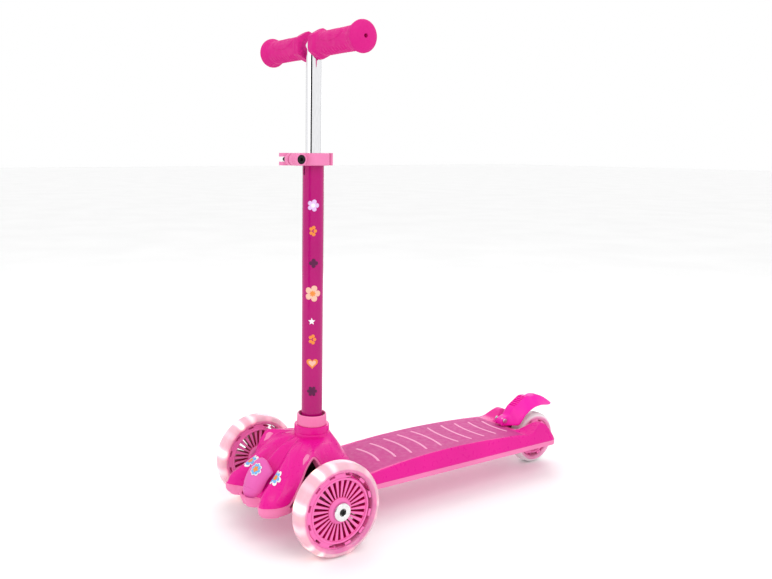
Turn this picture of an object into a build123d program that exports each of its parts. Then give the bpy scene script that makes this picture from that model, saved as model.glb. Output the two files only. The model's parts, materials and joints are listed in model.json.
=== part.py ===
"""Child's lean-to-steer kick scooter: two wheels at the front, one at the back, telescopic bar.

Millimetres. +Z is up, the scooter faces -Y and +X is the rider's left. The origin is on the
floor, at the centre of the overall box. Heights are from the floor. "Ahead" and "behind" are
distances along Y from the front axle.
"""

import os
from math import cos, hypot, pi, radians, sin

from build123d import *

os.makedirs("parts", exist_ok=True)

# ---- Overall layout
wheelbase = 446.0
nose_reach = 77.0  # tip of the toes ahead of the front axle
front_wheel_r = 60.0
rear_wheel_r = 40.0
tyre_width = 24.0
half_track = 105.5  # centre plane of a front wheel from the middle of the scooter
bar_height = 630.0  # middle of the crossbar

front_y = nose_reach - (nose_reach + wheelbase + rear_wheel_r) / 2
rear_y = front_y + wheelbase
column_behind = 29.0
column_y = front_y + column_behind

# ---- Clearances
running = 0.05  # radial gap of a shaft that turns in its hole
sliding = 0.08  # radial gap of a tube that slides in another
free_gap = 0.5  # gap between pieces that pass each other
slack_hole = 0.15  # radial gap at the pivot that closes the steering linkage

# ---- Body shells
wall = 3.0
parting_z = 54.0  # the upper shell stands on the lower shell here
tray_z = 47.0  # underside of the lower shell below the deck
toe_floor_z = 41.0  # underside of the lower shell below the hood
floor_thick = 2.5
body_half_width = 60.0  # at the parting line
side_slope = 24.0  # degrees that the deck's sides lean in
deck_front_z = 63.4  # deck surface where it runs under the hood
deck_crown_z = 76.0
deck_tail_z = 68.4
deck_start = 60.0  # behind the front axle, as are the next ones
deck_crown = 235.0
deck_end = 385.0
tail_end = 443.0
tail_corner_r = 14.0

# ---- Hood
neck_r = 23.5
slope_top_r = 22.0  # the slopes run in under the neck's skin
neck_z = 133.0  # top of the neck's rim
hood_top_z = 121.0  # where the slopes leave the neck
hood_full_z = 57.0  # where the slopes reach their full width
toe_ahead = 76.0
toe_x = 48.0
toe_tuck = 5.0  # how far the toes' undersides are tucked in
toe_slope = 1.3  # how much straighter than the rest the slopes down to the toes are
toe_sideways = 0.4  # sine of the toes' direction from straight ahead
toe_spread = 0.25
arch_depth = 16.0  # how far the arch liners reach in from the side
toe_pad_half = 19.0
toe_pad_top_z = 97.0
toe_pad_back = 36.0  # the pad's rear edge ahead of the front axle
arch_trim = 3.2
arch_top_z = 105.0
arch_foot_ahead = 58.0
arch_ahead = 12.0
arch_behind = 14.0
arch_foot_behind = 40.0
arch_r = 10.0

# ---- Tail
slot_half = 16.0  # half-width of the slot round the rear wheel
slot_gap = 6.0  # from the rear tyre to the front of its slot
horn_z = 79.0  # peak of the two tail horns
horn_behind = 424.0
horn_foot = 55.0  # from the end of the deck's arc to the horn's rear foot
trough_start = 8.0  # from the end of the deck's arc to the space between the horns
trough_z = 62.0
trough_foot = 6.0
fork_thick = 8.5
fork_r = 10.0

# ---- Deck strips
strip_count_half = 5
strip_pitch = 26.4
strip_middle_gap = 33.0
strip_long = 36.0  # half-length of the longest strip
strip_short = 28.0
strip_width = 4.2
strip_proud = 0.8
strip_bow = 5.0
strip_centre = 243.5

# ---- Column
lower_tube_r = 14.0
lower_tube_wall = 1.5
lower_tube_foot_z = 48.0
clamp_top_z = 494.0
clamp_height = 16.0
upper_tube_r = 10.0
upper_tube_wall = 1.2
upper_tube_foot_z = 345.0
guide_length = 14.0
bush_length = 52.0
bush_lip = 1.5
collar_r = 20.0
collar_bore_r = 17.5
collar_height = 15.0
socket_wall = 2.5
socket_top_gap = 4.0  # the stem socket ends this far under the neck's rim
cross_bolt_z = 62.0
cross_bolt_r = 2.5

# ---- Clamp
clamp_ring_r = 21.0
clamp_slit = 3.0
clamp_slit_below = 12.0  # how far the tube's own slit runs below the clamp
clamp_bolt_ahead = 30.0  # bolt ahead of the column's axis
clamp_ear = 8.0
clamp_ear_r = 8.0
boss_length = 11.0
skewer_r = 2.5
skewer_head_r = 5.5
lever_pivot_x = 19.0
lever_pin_r = 2.0
lever_prong = 4.7
lever_arc_r = 24.6  # middle line of the closed lever round the column
lever_blade = 4.6
lever_tip_angle = 78.0  # from the rider's left

# ---- Handlebar
crossbar_r = 11.0
crossbar_wall = 1.5
grip_inner_x = 12.0
grip_end_x = 114.0
grip_body_r = 15.5
grip_flange_r = 19.5
grip_flange_x = 106.0
grip_hole_r = 2.5

# ---- Steering
kingpin_x = 36.0
kingpin_r = 4.0
kingpin_rake = 20.0  # degrees that the top of a kingpin leans forward
knuckle_height = 19.0
knuckle_r = 9.0
yoke_plate = 3.0
yoke_front = 9.0
yoke_back = 7.0
yoke_spine_half = 10.0
yoke_screw_x = 18.0
yoke_screw_r = 1.6
yoke_screw_head_r = 3.0
yoke_screw_depth = 5.5  # into its seat
yoke_seat_half = 5.0
plate_gap = 0.3  # between a knuckle or the tie bar and the plates it lies against
tie_arm = 19.0
tie_pin_r = 2.5
tie_bar_thick = 4.0
tie_bar_half_width = 5.0

# ---- Axles, bearings and wheels
axle_r = 4.0
bearing_r = 11.0
bearing_width = 7.0
hub_r = 14.0
hub_width = 22.0
cap_r = 11.75
cap_thick = 3.5
cap_screw_r = 2.0
cap_screw_head_r = 3.6
front_web_r = 40.5
front_core_r = 49.0
front_core_width = 19.0
web_width = 15.0
front_slot_count = 28
slot_share = 0.55  # of the way round the web that its slots take up
front_window_count = 12
led_count = 6
rear_web_r = 24.0
rear_core_r = 31.0
rear_slot_count = 16
rear_window_count = 8
tread_r = 6.0

# ---- Brake
brake_pin_behind = 379.5
brake_pin_z = 78.5
brake_pin_r = 2.5
fender_half = 19.5
fender_top_half = 7.5
fender_fall = 1.6  # drop of the fender's flanks for each millimetre outward
fender_ear_half = 7.7  # outer faces of the ears on the hinge pin
fender_wall = 2.6
lug_half = 2.4
spring_room = 0.3  # beside the coil, on the hinge pin
pad_gap = 13.0  # from the brake pad to the tyre with the brake released
pad_thick = 2.0
pad_half = 9.0
pad_length = 22.0
pad_block_top = 102.0

# ---- Fasteners under the body
shell_screw_x = 41.0
shell_screw_r = 1.6
shell_screw_head_r = 3.4
boss_r = 4.5


def finish(piece, name):
    """Label a finished piece and write it as its own file."""
    piece.part.label = name
    export_step(piece.part, f"parts/{name}.step")


def side_plane(x):
    """Plane across X at x, with its own x along +Y and its own y along +Z."""
    return Plane(origin=(x, 0, 0), x_dir=(0, 1, 0), z_dir=(1, 0, 0))


def axle_plane(x, y, z):
    """Side plane whose origin is on an axle."""
    return Plane(origin=(x, y, z), x_dir=(0, 1, 0), z_dir=(1, 0, 0))


def mirrored(piece, name):
    """Write the right-hand twin of a left-hand piece."""
    with BuildPart() as twin:
        mirror(piece.part, about=Plane.YZ)
    finish(twin, name)
    return twin


# =====================================================================================
# Body outlines that the shells share
# =====================================================================================

# Plan of the hood at its full width, on the rider's left, from the column's axis:
# (across, behind).
hood_plan = [
    (0, -toe_ahead - column_behind),
    (13, -toe_ahead - column_behind + 3),
    (toe_x / 2, -toe_ahead - column_behind + 17),
    (toe_x - 13, -toe_ahead - column_behind + 3),
    (toe_x, -toe_ahead - column_behind),
    (body_half_width - 1, -toe_ahead - column_behind + 16),
    (body_half_width + 1, -60),
    (body_half_width, -25),
    (body_half_width - 1, 10),
    (body_half_width - 5, 40),
    (42, 58),
    (20, 66),
    (0, 67),
]


def hood_reach(across, behind, z):
    """Share of its full reach that a slope of the hood has at height z."""
    fallen = min(max((hood_top_z - z) / (hood_top_z - hood_full_z), 0.0), 1.0)
    sideways = across / hypot(across, behind)
    toeward = max(1 - ((sideways - toe_sideways) / toe_spread) ** 2, 0.0) if behind < 0 else 0.0
    return 1 - (1 - fallen) ** (2 + 4 * sideways**2 - toe_slope * toeward)


def hood_half_outline(z, inset=0.0):
    """Points of the hood's outline on the rider's left at height z, pulled in by inset."""
    points = []
    for across, behind in hood_plan:
        full = hypot(across, behind)
        reach = slope_top_r + (full - slope_top_r) * hood_reach(across, behind, z) - inset
        points.append((across / full * reach, column_y + behind / full * reach))
    return points


def hood_solid(sections):
    """Smooth solid through hood outlines, each (its height, the outline's height, inset)."""
    with BuildPart() as solid:
        for height, z, inset in sections:
            with BuildSketch(Plane.XY.offset(height)):
                with BuildLine():
                    rim = Spline(*hood_half_outline(z, inset))
                    Line(rim @ 1, rim @ 0)
                make_face()
        loft()
        mirror(about=Plane.YZ)
    return solid


def deck_plan(inset, start_behind, z):
    """Plan of the deck at height z, with rounded tail corners."""
    length = tail_end - start_behind - inset
    middle_y = front_y + start_behind + length / 2
    half = body_half_width - inset
    with BuildSketch(Plane.XY.offset(z)) as plan:
        with Locations((0, middle_y)):
            Rectangle(2 * half, length)
        fillet(plan.vertices().group_by(Axis.Y)[-1], tail_corner_r - inset)
    return plan


def deck_side_face(drop):
    """Side view of the deck and its tail horns, its top lowered by drop."""
    with BuildSketch(side_plane(0)) as face:
        with BuildLine():
            start = (front_y + deck_start - 25, deck_front_z - 4 - drop)
            top = ThreePointArc(
                start,
                (front_y + deck_crown, deck_crown_z - drop),
                (front_y + deck_end, deck_tail_z - drop),
            )
            horn = Spline(
                top @ 1,
                (front_y + horn_behind, horn_z - drop),
                tangents=[(1, -0.05), (1, 0.1)],
            )
            tail = Line(horn @ 1, (front_y + deck_end + horn_foot + 6, parting_z - 10))
            foot = Line(tail @ 1, (front_y + deck_start - 25, parting_z - 10))
            Line(foot @ 1, top @ 0)
        make_face()
    return face


def deck_solid(inset, drop, start_behind):
    """The deck's solid: its tapered plan cut to its side view."""
    plan = deck_plan(inset, start_behind, parting_z)
    face = deck_side_face(drop)
    with BuildPart() as solid:
        extrude(plan.sketch, amount=horn_z - parting_z + 4, taper=side_slope)
        extrude(face.sketch, amount=2 * body_half_width, both=True, mode=Mode.INTERSECT)
    return solid


def deck_surface_z(behind):
    """Height of the deck's surface, from the arc through its three heights."""
    rise_front = (behind - deck_crown) / (deck_crown - deck_start)
    rise_tail = (behind - deck_crown) / (deck_end - deck_crown)
    if behind < deck_crown:
        return deck_crown_z - (deck_crown_z - deck_front_z) * rise_front**2
    return deck_crown_z - (deck_crown_z - deck_tail_z) * rise_tail**2


def arch_prism(side, grow):
    """Wheel arch cut through one side of the body, enlarged by grow."""
    with BuildPart() as prism:
        with BuildSketch(side_plane(side * (body_half_width - arch_depth))):
            with BuildLine():
                low_z = toe_floor_z - 12
                outline = FilletPolyline(
                    (front_y - arch_foot_ahead - grow, low_z),
                    (front_y - arch_ahead - grow, arch_top_z + grow),
                    (front_y + arch_behind + grow, arch_top_z + grow),
                    (front_y + arch_foot_behind + grow, low_z),
                    radius=arch_r + grow,
                )
                Line(outline @ 1, outline @ 0)
            make_face()
        extrude(amount=side * (arch_depth + 20))
    return prism


def strip_places():
    """(behind, half-length, bow) of each grip strip; the bows curve towards the middle."""
    places = []
    for side in (-1, 1):
        for step in range(strip_count_half):
            behind = strip_centre + side * (strip_middle_gap / 2 + step * strip_pitch)
            share = (step / (strip_count_half - 1)) ** 2
            half = strip_long - (strip_long - strip_short) * share
            places.append((behind, half, -side * strip_bow))
    return places


def strip_prisms(top_z, bottom_z):
    """Upright prisms through the deck where the grip strips are."""
    with BuildPart() as prisms:
        for behind, half, bow in strip_places():
            y = front_y + behind
            with BuildSketch(Plane.XY.offset(bottom_z)):
                with BuildLine():
                    ThreePointArc((-half, y), (0, y + bow), (half, y))
                trace(line_width=strip_width)
            extrude(amount=top_z - bottom_z)
    return prisms


hood_levels = [parting_z, 70, 84, 98, 110, hood_top_z]
hood_outer = hood_solid([(z, z, 0) for z in hood_levels])
hood_inner = hood_solid([(z - wall, z, wall - 1) for z in hood_levels])
deck_outer = deck_solid(0, 0, deck_start - 20)
deck_inner = deck_solid(wall, wall, deck_start - 20)
arches = {side: arch_prism(side, arch_trim) for side in (-1, 1)}
arch_holes = {side: arch_prism(side, 0) for side in (-1, 1)}
strips_cut = strip_prisms(horn_z, parting_z)
screw_places = [
    (side * shell_screw_x, front_y + behind)
    for side in (-1, 1)
    for behind in (120, 200, 280, 350)
]
slot_front_y = rear_y - rear_wheel_r - slot_gap
socket_r = lower_tube_r + running + socket_wall



def tail_trough(drop):
    """Space between the tail horns, opening upward from the wheel's slot, lowered by drop."""
    with BuildPart() as trough:
        with BuildSketch(Plane.XZ.offset(-(front_y + deck_end + trough_start - drop))):
            with BuildLine():
                Polyline(
                    (-slot_half, trough_z - drop),
                    (slot_half, trough_z - drop),
                    (slot_half + trough_foot, trough_z + 3 - drop),
                    (body_half_width - 14 + drop, horn_z + 1),
                    (-body_half_width + 14 - drop, horn_z + 1),
                    (-slot_half - trough_foot, trough_z + 3 - drop),
                    close=True,
                )
            make_face()
        extrude(amount=-100)
    return trough


# Hollow of the deck, which leaves walls round the wheel's slot and the trough.
with BuildPart() as deck_hollow:
    add(deck_inner.part)
    add(tail_trough(wall).part, mode=Mode.SUBTRACT)
    with Locations((0, slot_front_y + 100 - wall, 50)):
        Box(2 * (slot_half + wall), 200, 120, mode=Mode.SUBTRACT)

# Oval window in the hood that the centre toe fills.
with BuildPart() as toe_window:
    with BuildSketch(Plane.XZ.offset(toe_pad_back - front_y)):
        with Locations((0, (hood_full_z + toe_pad_top_z) / 2 - 4)):
            Ellipse(toe_pad_half, (toe_pad_top_z - hood_full_z) / 2 + 5)
    extrude(amount=toe_ahead)

with BuildPart() as wheel_slot:
    with Locations((0, slot_front_y + 100, 50)):
        Box(2 * slot_half, 200, 120)

# =====================================================================================
# Body shells
# =====================================================================================

with BuildPart() as upper_shell:
    add(hood_outer.part)
    add(deck_outer.part)
    with Locations((0, column_y, 0)):
        with Locations((0, 0, (neck_z + 100) / 2)):
            Cylinder(neck_r, neck_z - 100)
    add(hood_inner.part, mode=Mode.SUBTRACT)
    add(deck_hollow.part, mode=Mode.SUBTRACT)
    add(tail_trough(0).part, mode=Mode.SUBTRACT)
    for x, y in screw_places:
        top_z = deck_surface_z(y - front_y) - wall / 2
        boss_foot = tray_z + floor_thick
        with Locations((x, y, (top_z + boss_foot) / 2)):
            Cylinder(boss_r, top_z - boss_foot)
        with Locations((x, y, boss_foot + 5)):
            Cylinder(shell_screw_r, 10, mode=Mode.SUBTRACT)
    # lug of the brake hinge
    with BuildSketch(side_plane(-lug_half)):
        with BuildLine():
            lug_y = front_y + brake_pin_behind
            Polyline(
                (lug_y - 9, deck_surface_z(brake_pin_behind - 9) - wall + 1),
                (lug_y - 5, brake_pin_z + 1),
                (lug_y + 5, brake_pin_z + 1),
                (lug_y + 9, deck_surface_z(brake_pin_behind + 9) - wall + 1),
                close=True,
            )
        make_face()
        with Locations((lug_y, brake_pin_z)):
            Circle(brake_pin_r + 2.6)
    extrude(amount=2 * lug_half)
    with BuildSketch(side_plane(-lug_half)):
        with Locations((lug_y, brake_pin_z)):
            Circle(brake_pin_r)
    extrude(amount=2 * lug_half, mode=Mode.SUBTRACT)
    # cuts
    add(wheel_slot.part, mode=Mode.SUBTRACT)
    for side in (-1, 1):
        add(arches[side].part, mode=Mode.SUBTRACT)
    add(toe_window.part, mode=Mode.SUBTRACT)
    add(strips_cut.part, mode=Mode.SUBTRACT)
    with Locations((0, column_y, 100)):
        Cylinder(socket_r + running, 200, mode=Mode.SUBTRACT)
finish(upper_shell, "upper_shell")

for side, name in ((1, "arch_liner_left"), (-1, "arch_liner_right")):
    with BuildPart() as liner:
        add(arches[side].part)
        add(arch_holes[side].part, mode=Mode.SUBTRACT)
        add(hood_outer.part, mode=Mode.INTERSECT)
    finish(liner, name)

with BuildPart() as deck_strips:
    add(strips_cut.part)
    extrude(deck_side_face(-strip_proud).sketch, amount=body_half_width, both=True, mode=Mode.INTERSECT)
    extrude(deck_side_face(wall).sketch, amount=body_half_width, both=True, mode=Mode.SUBTRACT)
finish(deck_strips, "deck_strips")

def toe_bowl(inset, floor, top_z):
    """Bowl under the hood, its sides pulled in and its floor raised for the inside."""
    return hood_solid(
        [
            (toe_floor_z + floor, hood_full_z, toe_tuck + inset),
            (top_z, hood_full_z, inset),
        ]
    )


tray_plan = deck_plan(0, deck_start, tray_z)
tray_inner_plan = deck_plan(wall, deck_start, tray_z + floor_thick)
fork_foot_z = parting_z - 2
rear_axle_z = rear_wheel_r

# The steering's own frame leans with its kingpins.
yoke_plane = Plane(
    origin=(0, front_y, front_wheel_r),
    x_dir=(1, 0, 0),
    z_dir=(0, -sin(radians(kingpin_rake)), cos(radians(kingpin_rake))),
)
knuckle_half = knuckle_height / 2
yoke_inner = knuckle_half + plate_gap
yoke_outer = yoke_inner + yoke_plate


def yoke_prism(outline, low, high, x=0.0, y=0.0):
    """Upright prism in the steering's frame, its outline points or a radius."""
    with BuildPart() as prism:
        with BuildSketch(yoke_plane.offset(low)):
            if isinstance(outline, float):
                with Locations((x, y)):
                    Circle(outline)
            else:
                with BuildLine():
                    Polyline(*outline, close=True)
                make_face()
        extrude(amount=high - low)
    return prism.part


# Seats of the yoke, cut to its slanted underside.
with BuildPart() as yoke_seats:
    seat_foot_z = toe_floor_z + floor_thick / 2
    for side in (-1, 1):
        with Locations((side * yoke_screw_x, front_y + 2, (seat_foot_z + front_wheel_r) / 2)):
            Box(2 * yoke_seat_half, 2 * yoke_seat_half, front_wheel_r - seat_foot_z)
    above_seats = [(-60, -40), (60, -40), (60, 40), (-60, 40)]
    add(yoke_prism(above_seats, -yoke_outer, yoke_outer), mode=Mode.SUBTRACT)
    for side in (-1, 1):
        hole_low = -yoke_outer - yoke_screw_depth
        add(
            yoke_prism(yoke_screw_r, hole_low, -yoke_outer, side * yoke_screw_x),
            mode=Mode.SUBTRACT,
        )

with BuildPart() as lower_shell:
    add(toe_bowl(0, 0, parting_z).part)
    extrude(tray_plan.sketch, amount=parting_z - tray_z)
    add(toe_bowl(wall, floor_thick, parting_z + 1).part, mode=Mode.SUBTRACT)
    extrude(tray_inner_plan.sketch, amount=parting_z - tray_z, mode=Mode.SUBTRACT)
    # lengthwise ribs that stiffen the tray
    for x in (-24, 24):
        with Locations((x, front_y + 230, (tray_z + parting_z) / 2)):
            Box(wall, 260, parting_z - tray_z)
    # fork that holds the rear axle
    for side in (-1, 1):
        inner_x = side * slot_half
        with BuildSketch(side_plane(inner_x)):
            with BuildLine():
                Polyline(
                    (rear_y - 62, tray_z),
                    (rear_y - 62, fork_foot_z),
                    (rear_y + 1, fork_foot_z),
                    (rear_y + fork_r, rear_axle_z),
                    (rear_y, rear_axle_z - fork_r),
                    (rear_y - 14, rear_axle_z - fork_r + 2),
                    close=True,
                )
            make_face()
            with Locations((rear_y, rear_axle_z)):
                Circle(fork_r)
        extrude(amount=side * fork_thick)
    with BuildSketch(side_plane(-slot_half - fork_thick)):
        with Locations((rear_y, rear_axle_z)):
            Circle(axle_r)
    extrude(amount=2 * (slot_half + fork_thick), mode=Mode.SUBTRACT)
    # cuts
    add(wheel_slot.part, mode=Mode.SUBTRACT)
    for side in (-1, 1):
        add(arches[side].part, mode=Mode.SUBTRACT)
    for x, y in screw_places:
        with Locations((x, y, tray_z + floor_thick)):
            Cylinder(shell_screw_r + 0.2, 3 * floor_thick, mode=Mode.SUBTRACT)
        with Locations((x, y, tray_z + floor_thick + wall)):
            Cylinder(boss_r + 0.2, 2 * wall, mode=Mode.SUBTRACT)
    add(yoke_seats.part)
    for side in (-1, 1):
        add(
            yoke_prism(yoke_screw_r, -yoke_outer - yoke_screw_depth, 0, side * yoke_screw_x),
            mode=Mode.SUBTRACT,
        )
finish(lower_shell, "lower_shell")

# =====================================================================================
# Centre toe: an inlaid pad between the two outer toes
# =====================================================================================

with BuildPart() as centre_toe:
    add(toe_window.part)
    add(hood_outer.part, mode=Mode.INTERSECT)
    add(hood_inner.part, mode=Mode.SUBTRACT)
finish(centre_toe, "centre_toe")

# =====================================================================================
# Column
# =====================================================================================

with BuildPart() as stem_socket:
    socket_foot_z = toe_floor_z + floor_thick
    socket_top_z = neck_z - socket_top_gap
    with BuildSketch(Plane.XY.offset(socket_foot_z)):
        with Locations((0, column_y)):
            Circle(socket_r)
    extrude(amount=socket_top_z - socket_foot_z)
    with BuildSketch(Plane.XY.offset(lower_tube_foot_z)):
        with Locations((0, column_y)):
            Circle(lower_tube_r + running)
    extrude(amount=socket_top_z - lower_tube_foot_z, mode=Mode.SUBTRACT)
    with BuildSketch(Plane.XZ.offset(-column_y)):
        with Locations((0, cross_bolt_z)):
            Circle(cross_bolt_r)
    extrude(amount=2 * socket_r, both=True, mode=Mode.SUBTRACT)
finish(stem_socket, "stem_socket")

with BuildPart() as column_collar:
    with BuildSketch(Plane.XY.offset(neck_z)):
        with Locations((0, column_y)):
            Circle(collar_r)
            Circle(collar_bore_r, mode=Mode.SUBTRACT)
    extrude(amount=collar_height)
    chamfer(column_collar.faces().sort_by(Axis.Z)[-1].edges(), 0.8)
finish(column_collar, "column_collar")

tube_top_z = clamp_top_z - bush_lip
tube_bore_r = lower_tube_r - lower_tube_wall
slit_foot_z = clamp_top_z - clamp_height - clamp_slit_below

with BuildPart() as slit_cut:
    with Locations((0, column_y - 20, (slit_foot_z + clamp_top_z + 10) / 2)):
        Box(clamp_slit, 40, clamp_top_z + 10 - slit_foot_z)

with BuildPart() as lower_tube:
    with BuildSketch(Plane.XY.offset(lower_tube_foot_z)):
        with Locations((0, column_y)):
            Circle(lower_tube_r)
            Circle(tube_bore_r, mode=Mode.SUBTRACT)
    extrude(amount=tube_top_z - lower_tube_foot_z)
    add(slit_cut.part, mode=Mode.SUBTRACT)
    with BuildSketch(Plane.XZ.offset(-column_y)):
        with Locations((0, cross_bolt_z)):
            Circle(cross_bolt_r)
    extrude(amount=2 * socket_r, both=True, mode=Mode.SUBTRACT)
finish(lower_tube, "lower_tube")

with BuildPart() as tube_bush:
    with BuildSketch(Plane.XY.offset(tube_top_z - bush_length)):
        with Locations((0, column_y)):
            Circle(tube_bore_r)
            Circle(upper_tube_r + sliding, mode=Mode.SUBTRACT)
    extrude(amount=bush_length)
    with BuildSketch(Plane.XY.offset(tube_top_z)):
        with Locations((0, column_y)):
            Circle(lower_tube_r)
            Circle(upper_tube_r + sliding, mode=Mode.SUBTRACT)
    extrude(amount=bush_lip)
    add(slit_cut.part, mode=Mode.SUBTRACT)
finish(tube_bush, "tube_bush")

with BuildPart() as cross_bolt:
    with BuildSketch(Plane.XZ.offset(-column_y)):
        with Locations((0, cross_bolt_z)):
            Circle(cross_bolt_r)
    extrude(amount=socket_r, both=True)
    with BuildSketch(Plane.XZ.offset(-column_y - socket_r)):
        with Locations((0, cross_bolt_z)):
            RegularPolygon(4.0, 6)
    extrude(amount=-3.0)
finish(cross_bolt, "cross_bolt")

# =====================================================================================
# Quick-release clamp
# =====================================================================================

clamp_foot_z = clamp_top_z - clamp_height
clamp_mid_z = clamp_top_z - clamp_height / 2
clamp_bolt_y = column_y - clamp_bolt_ahead
boss_end_x = clamp_slit / 2 + clamp_ear + boss_length

with BuildPart() as clamp_ring:
    with BuildSketch(Plane.XY.offset(clamp_foot_z)):
        with Locations((0, column_y)):
            Circle(clamp_ring_r)
        with Locations((0, clamp_bolt_y + clamp_bolt_ahead / 2)):
            Rectangle(2 * clamp_ear + clamp_slit, clamp_bolt_ahead)
    extrude(amount=clamp_height)
    # rounded ends of the ears, and the round boss on the rider's left
    with BuildSketch(side_plane(-clamp_ear - clamp_slit / 2)):
        with Locations((clamp_bolt_y, clamp_mid_z)):
            Circle(clamp_ear_r)
    extrude(amount=clamp_ear + clamp_slit / 2 + boss_end_x)
    # thick pad that wraps the rider's left side
    with BuildSketch(Plane.XY.offset(clamp_foot_z)):
        with BuildLine():
            pad_arc = CenterArc((0, column_y), clamp_ring_r + 1.5, -55, 85)
        trace(line_width=5)
    extrude(amount=clamp_height)
    with Locations((0, column_y, clamp_mid_z)):
        Cylinder(lower_tube_r, clamp_height, mode=Mode.SUBTRACT)
    add(slit_cut.part, mode=Mode.SUBTRACT)
    with Locations((0, clamp_bolt_y, clamp_mid_z)):
        Box(clamp_slit, 2 * clamp_ear_r + 1, clamp_height + 1, mode=Mode.SUBTRACT)
    with BuildSketch(side_plane(-clamp_ear - clamp_slit)):
        with Locations((clamp_bolt_y, clamp_mid_z)):
            Circle(skewer_r)
    extrude(amount=60, mode=Mode.SUBTRACT)
    with BuildSketch(side_plane(boss_end_x)):
        with Locations((clamp_bolt_y, clamp_mid_z)):
            Circle(skewer_head_r + 0.3)
    extrude(amount=-5, mode=Mode.SUBTRACT)
finish(clamp_ring, "clamp_ring")

with BuildPart() as clamp_skewer:
    with BuildSketch(side_plane(-lever_pivot_x - skewer_r - 2)):
        with Locations((clamp_bolt_y, clamp_mid_z)):
            Circle(skewer_r)
    extrude(amount=lever_pivot_x + skewer_r + 2 + boss_end_x - 5)
    with BuildSketch(side_plane(boss_end_x - 5)):
        with Locations((clamp_bolt_y, clamp_mid_z)):
            Circle(skewer_head_r)
    extrude(amount=4.4)
    with BuildSketch(side_plane(boss_end_x)):
        with Locations((clamp_bolt_y, clamp_mid_z)):
            RegularPolygon(2.6, 6)
    extrude(amount=-3.5, mode=Mode.SUBTRACT)
    with Locations((-lever_pivot_x, clamp_bolt_y, clamp_mid_z)):
        Cylinder(lever_pin_r + running, clamp_height, mode=Mode.SUBTRACT)
finish(clamp_skewer, "clamp_skewer")

with BuildPart() as lever_pin:
    with Locations((-lever_pivot_x, clamp_bolt_y, clamp_mid_z)):
        Cylinder(lever_pin_r, clamp_height)
finish(lever_pin, "lever_pin")

with BuildPart() as clamp_lever:
    cam_r = lever_pivot_x - clamp_ear - clamp_slit / 2 - free_gap
    with BuildSketch(Plane.XY.offset(clamp_foot_z)):
        with Locations((-lever_pivot_x, clamp_bolt_y)):
            Circle(cam_r)
        # blade that lies round the ring to the back of the column
        with BuildLine():
            CenterArc((0, column_y), lever_arc_r, lever_tip_angle, 200 - lever_tip_angle)
        trace(line_width=lever_blade)
        with Locations((lever_arc_r * cos(radians(lever_tip_angle)),
                        column_y + lever_arc_r * sin(radians(lever_tip_angle)))):
            Circle(lever_blade / 2)
        with BuildLine():
            shank_x = -lever_arc_r * cos(radians(20))
            shank_y = column_y - lever_arc_r * sin(radians(20))
            Polyline(
                (shank_x - lever_blade / 2, shank_y + 1),
                (shank_x + lever_blade / 2, shank_y),
                (-lever_pivot_x + 2, clamp_bolt_y + 2),
                (-lever_pivot_x - cam_r + 0.5, clamp_bolt_y - 2),
                close=True,
            )
        make_face()
    extrude(amount=clamp_height)
    with Locations((-lever_pivot_x, clamp_bolt_y, clamp_mid_z)):
        Box(2 * cam_r + 2, 3 * cam_r, clamp_height - 2 * lever_prong, mode=Mode.SUBTRACT)
        Cylinder(lever_pin_r, clamp_height + 2, mode=Mode.SUBTRACT)
finish(clamp_lever, "clamp_lever")

# =====================================================================================
# Handlebar
# =====================================================================================

with BuildPart() as crossbar:
    with BuildSketch(side_plane(-grip_flange_x)):
        with Locations((column_y, bar_height)):
            Circle(crossbar_r)
            Circle(crossbar_r - crossbar_wall, mode=Mode.SUBTRACT)
    extrude(amount=2 * grip_flange_x)
finish(crossbar, "crossbar")

with BuildPart() as upper_tube:
    with BuildSketch(Plane.XY.offset(upper_tube_foot_z)):
        with Locations((0, column_y)):
            Circle(upper_tube_r)
            Circle(upper_tube_r - upper_tube_wall, mode=Mode.SUBTRACT)
    extrude(amount=bar_height - upper_tube_foot_z)
    with BuildSketch(side_plane(-2 * upper_tube_r)):
        with Locations((column_y, bar_height)):
            Circle(crossbar_r)
    extrude(amount=4 * upper_tube_r, mode=Mode.SUBTRACT)
finish(upper_tube, "upper_tube")

with BuildPart() as tube_guide:
    with BuildSketch(Plane.XY.offset(upper_tube_foot_z)):
        with Locations((0, column_y)):
            Circle(tube_bore_r - sliding)
            Circle(upper_tube_r, mode=Mode.SUBTRACT)
    extrude(amount=guide_length)
finish(tube_guide, "tube_guide")

with BuildPart() as grip_left:
    # half section, x along the bar and y out from its axis
    with BuildSketch(Plane(origin=(0, column_y, bar_height), x_dir=(1, 0, 0), z_dir=(0, -1, 0))):
        with BuildLine():
            start = (grip_inner_x, crossbar_r)
            Polyline(
                (grip_end_x, 0),
                (grip_flange_x, 0),
                (grip_flange_x, crossbar_r),
                start,
                (grip_inner_x, grip_body_r + 3),
                (grip_inner_x + 6, grip_body_r + 3),
                (grip_inner_x + 11, grip_body_r),
                (grip_flange_x - 9, grip_body_r),
                (grip_flange_x - 2, grip_flange_r),
                (grip_flange_x + 1.5, grip_flange_r),
                (grip_end_x - 3, grip_flange_r - 8),
                close=True,
            )
        make_face()
    revolve(axis=Axis((0, column_y, bar_height), (1, 0, 0)))
    with BuildSketch(side_plane(grip_flange_x - 1)):
        with Locations((column_y, bar_height)):
            Circle(grip_hole_r)
    extrude(amount=20, mode=Mode.SUBTRACT)
finish(grip_left, "grip_left")
grip_right = mirrored(grip_left, "grip_right")

# =====================================================================================
# Steering: a yoke holds two raked kingpins, and each knuckle turns on one
# =====================================================================================

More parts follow.
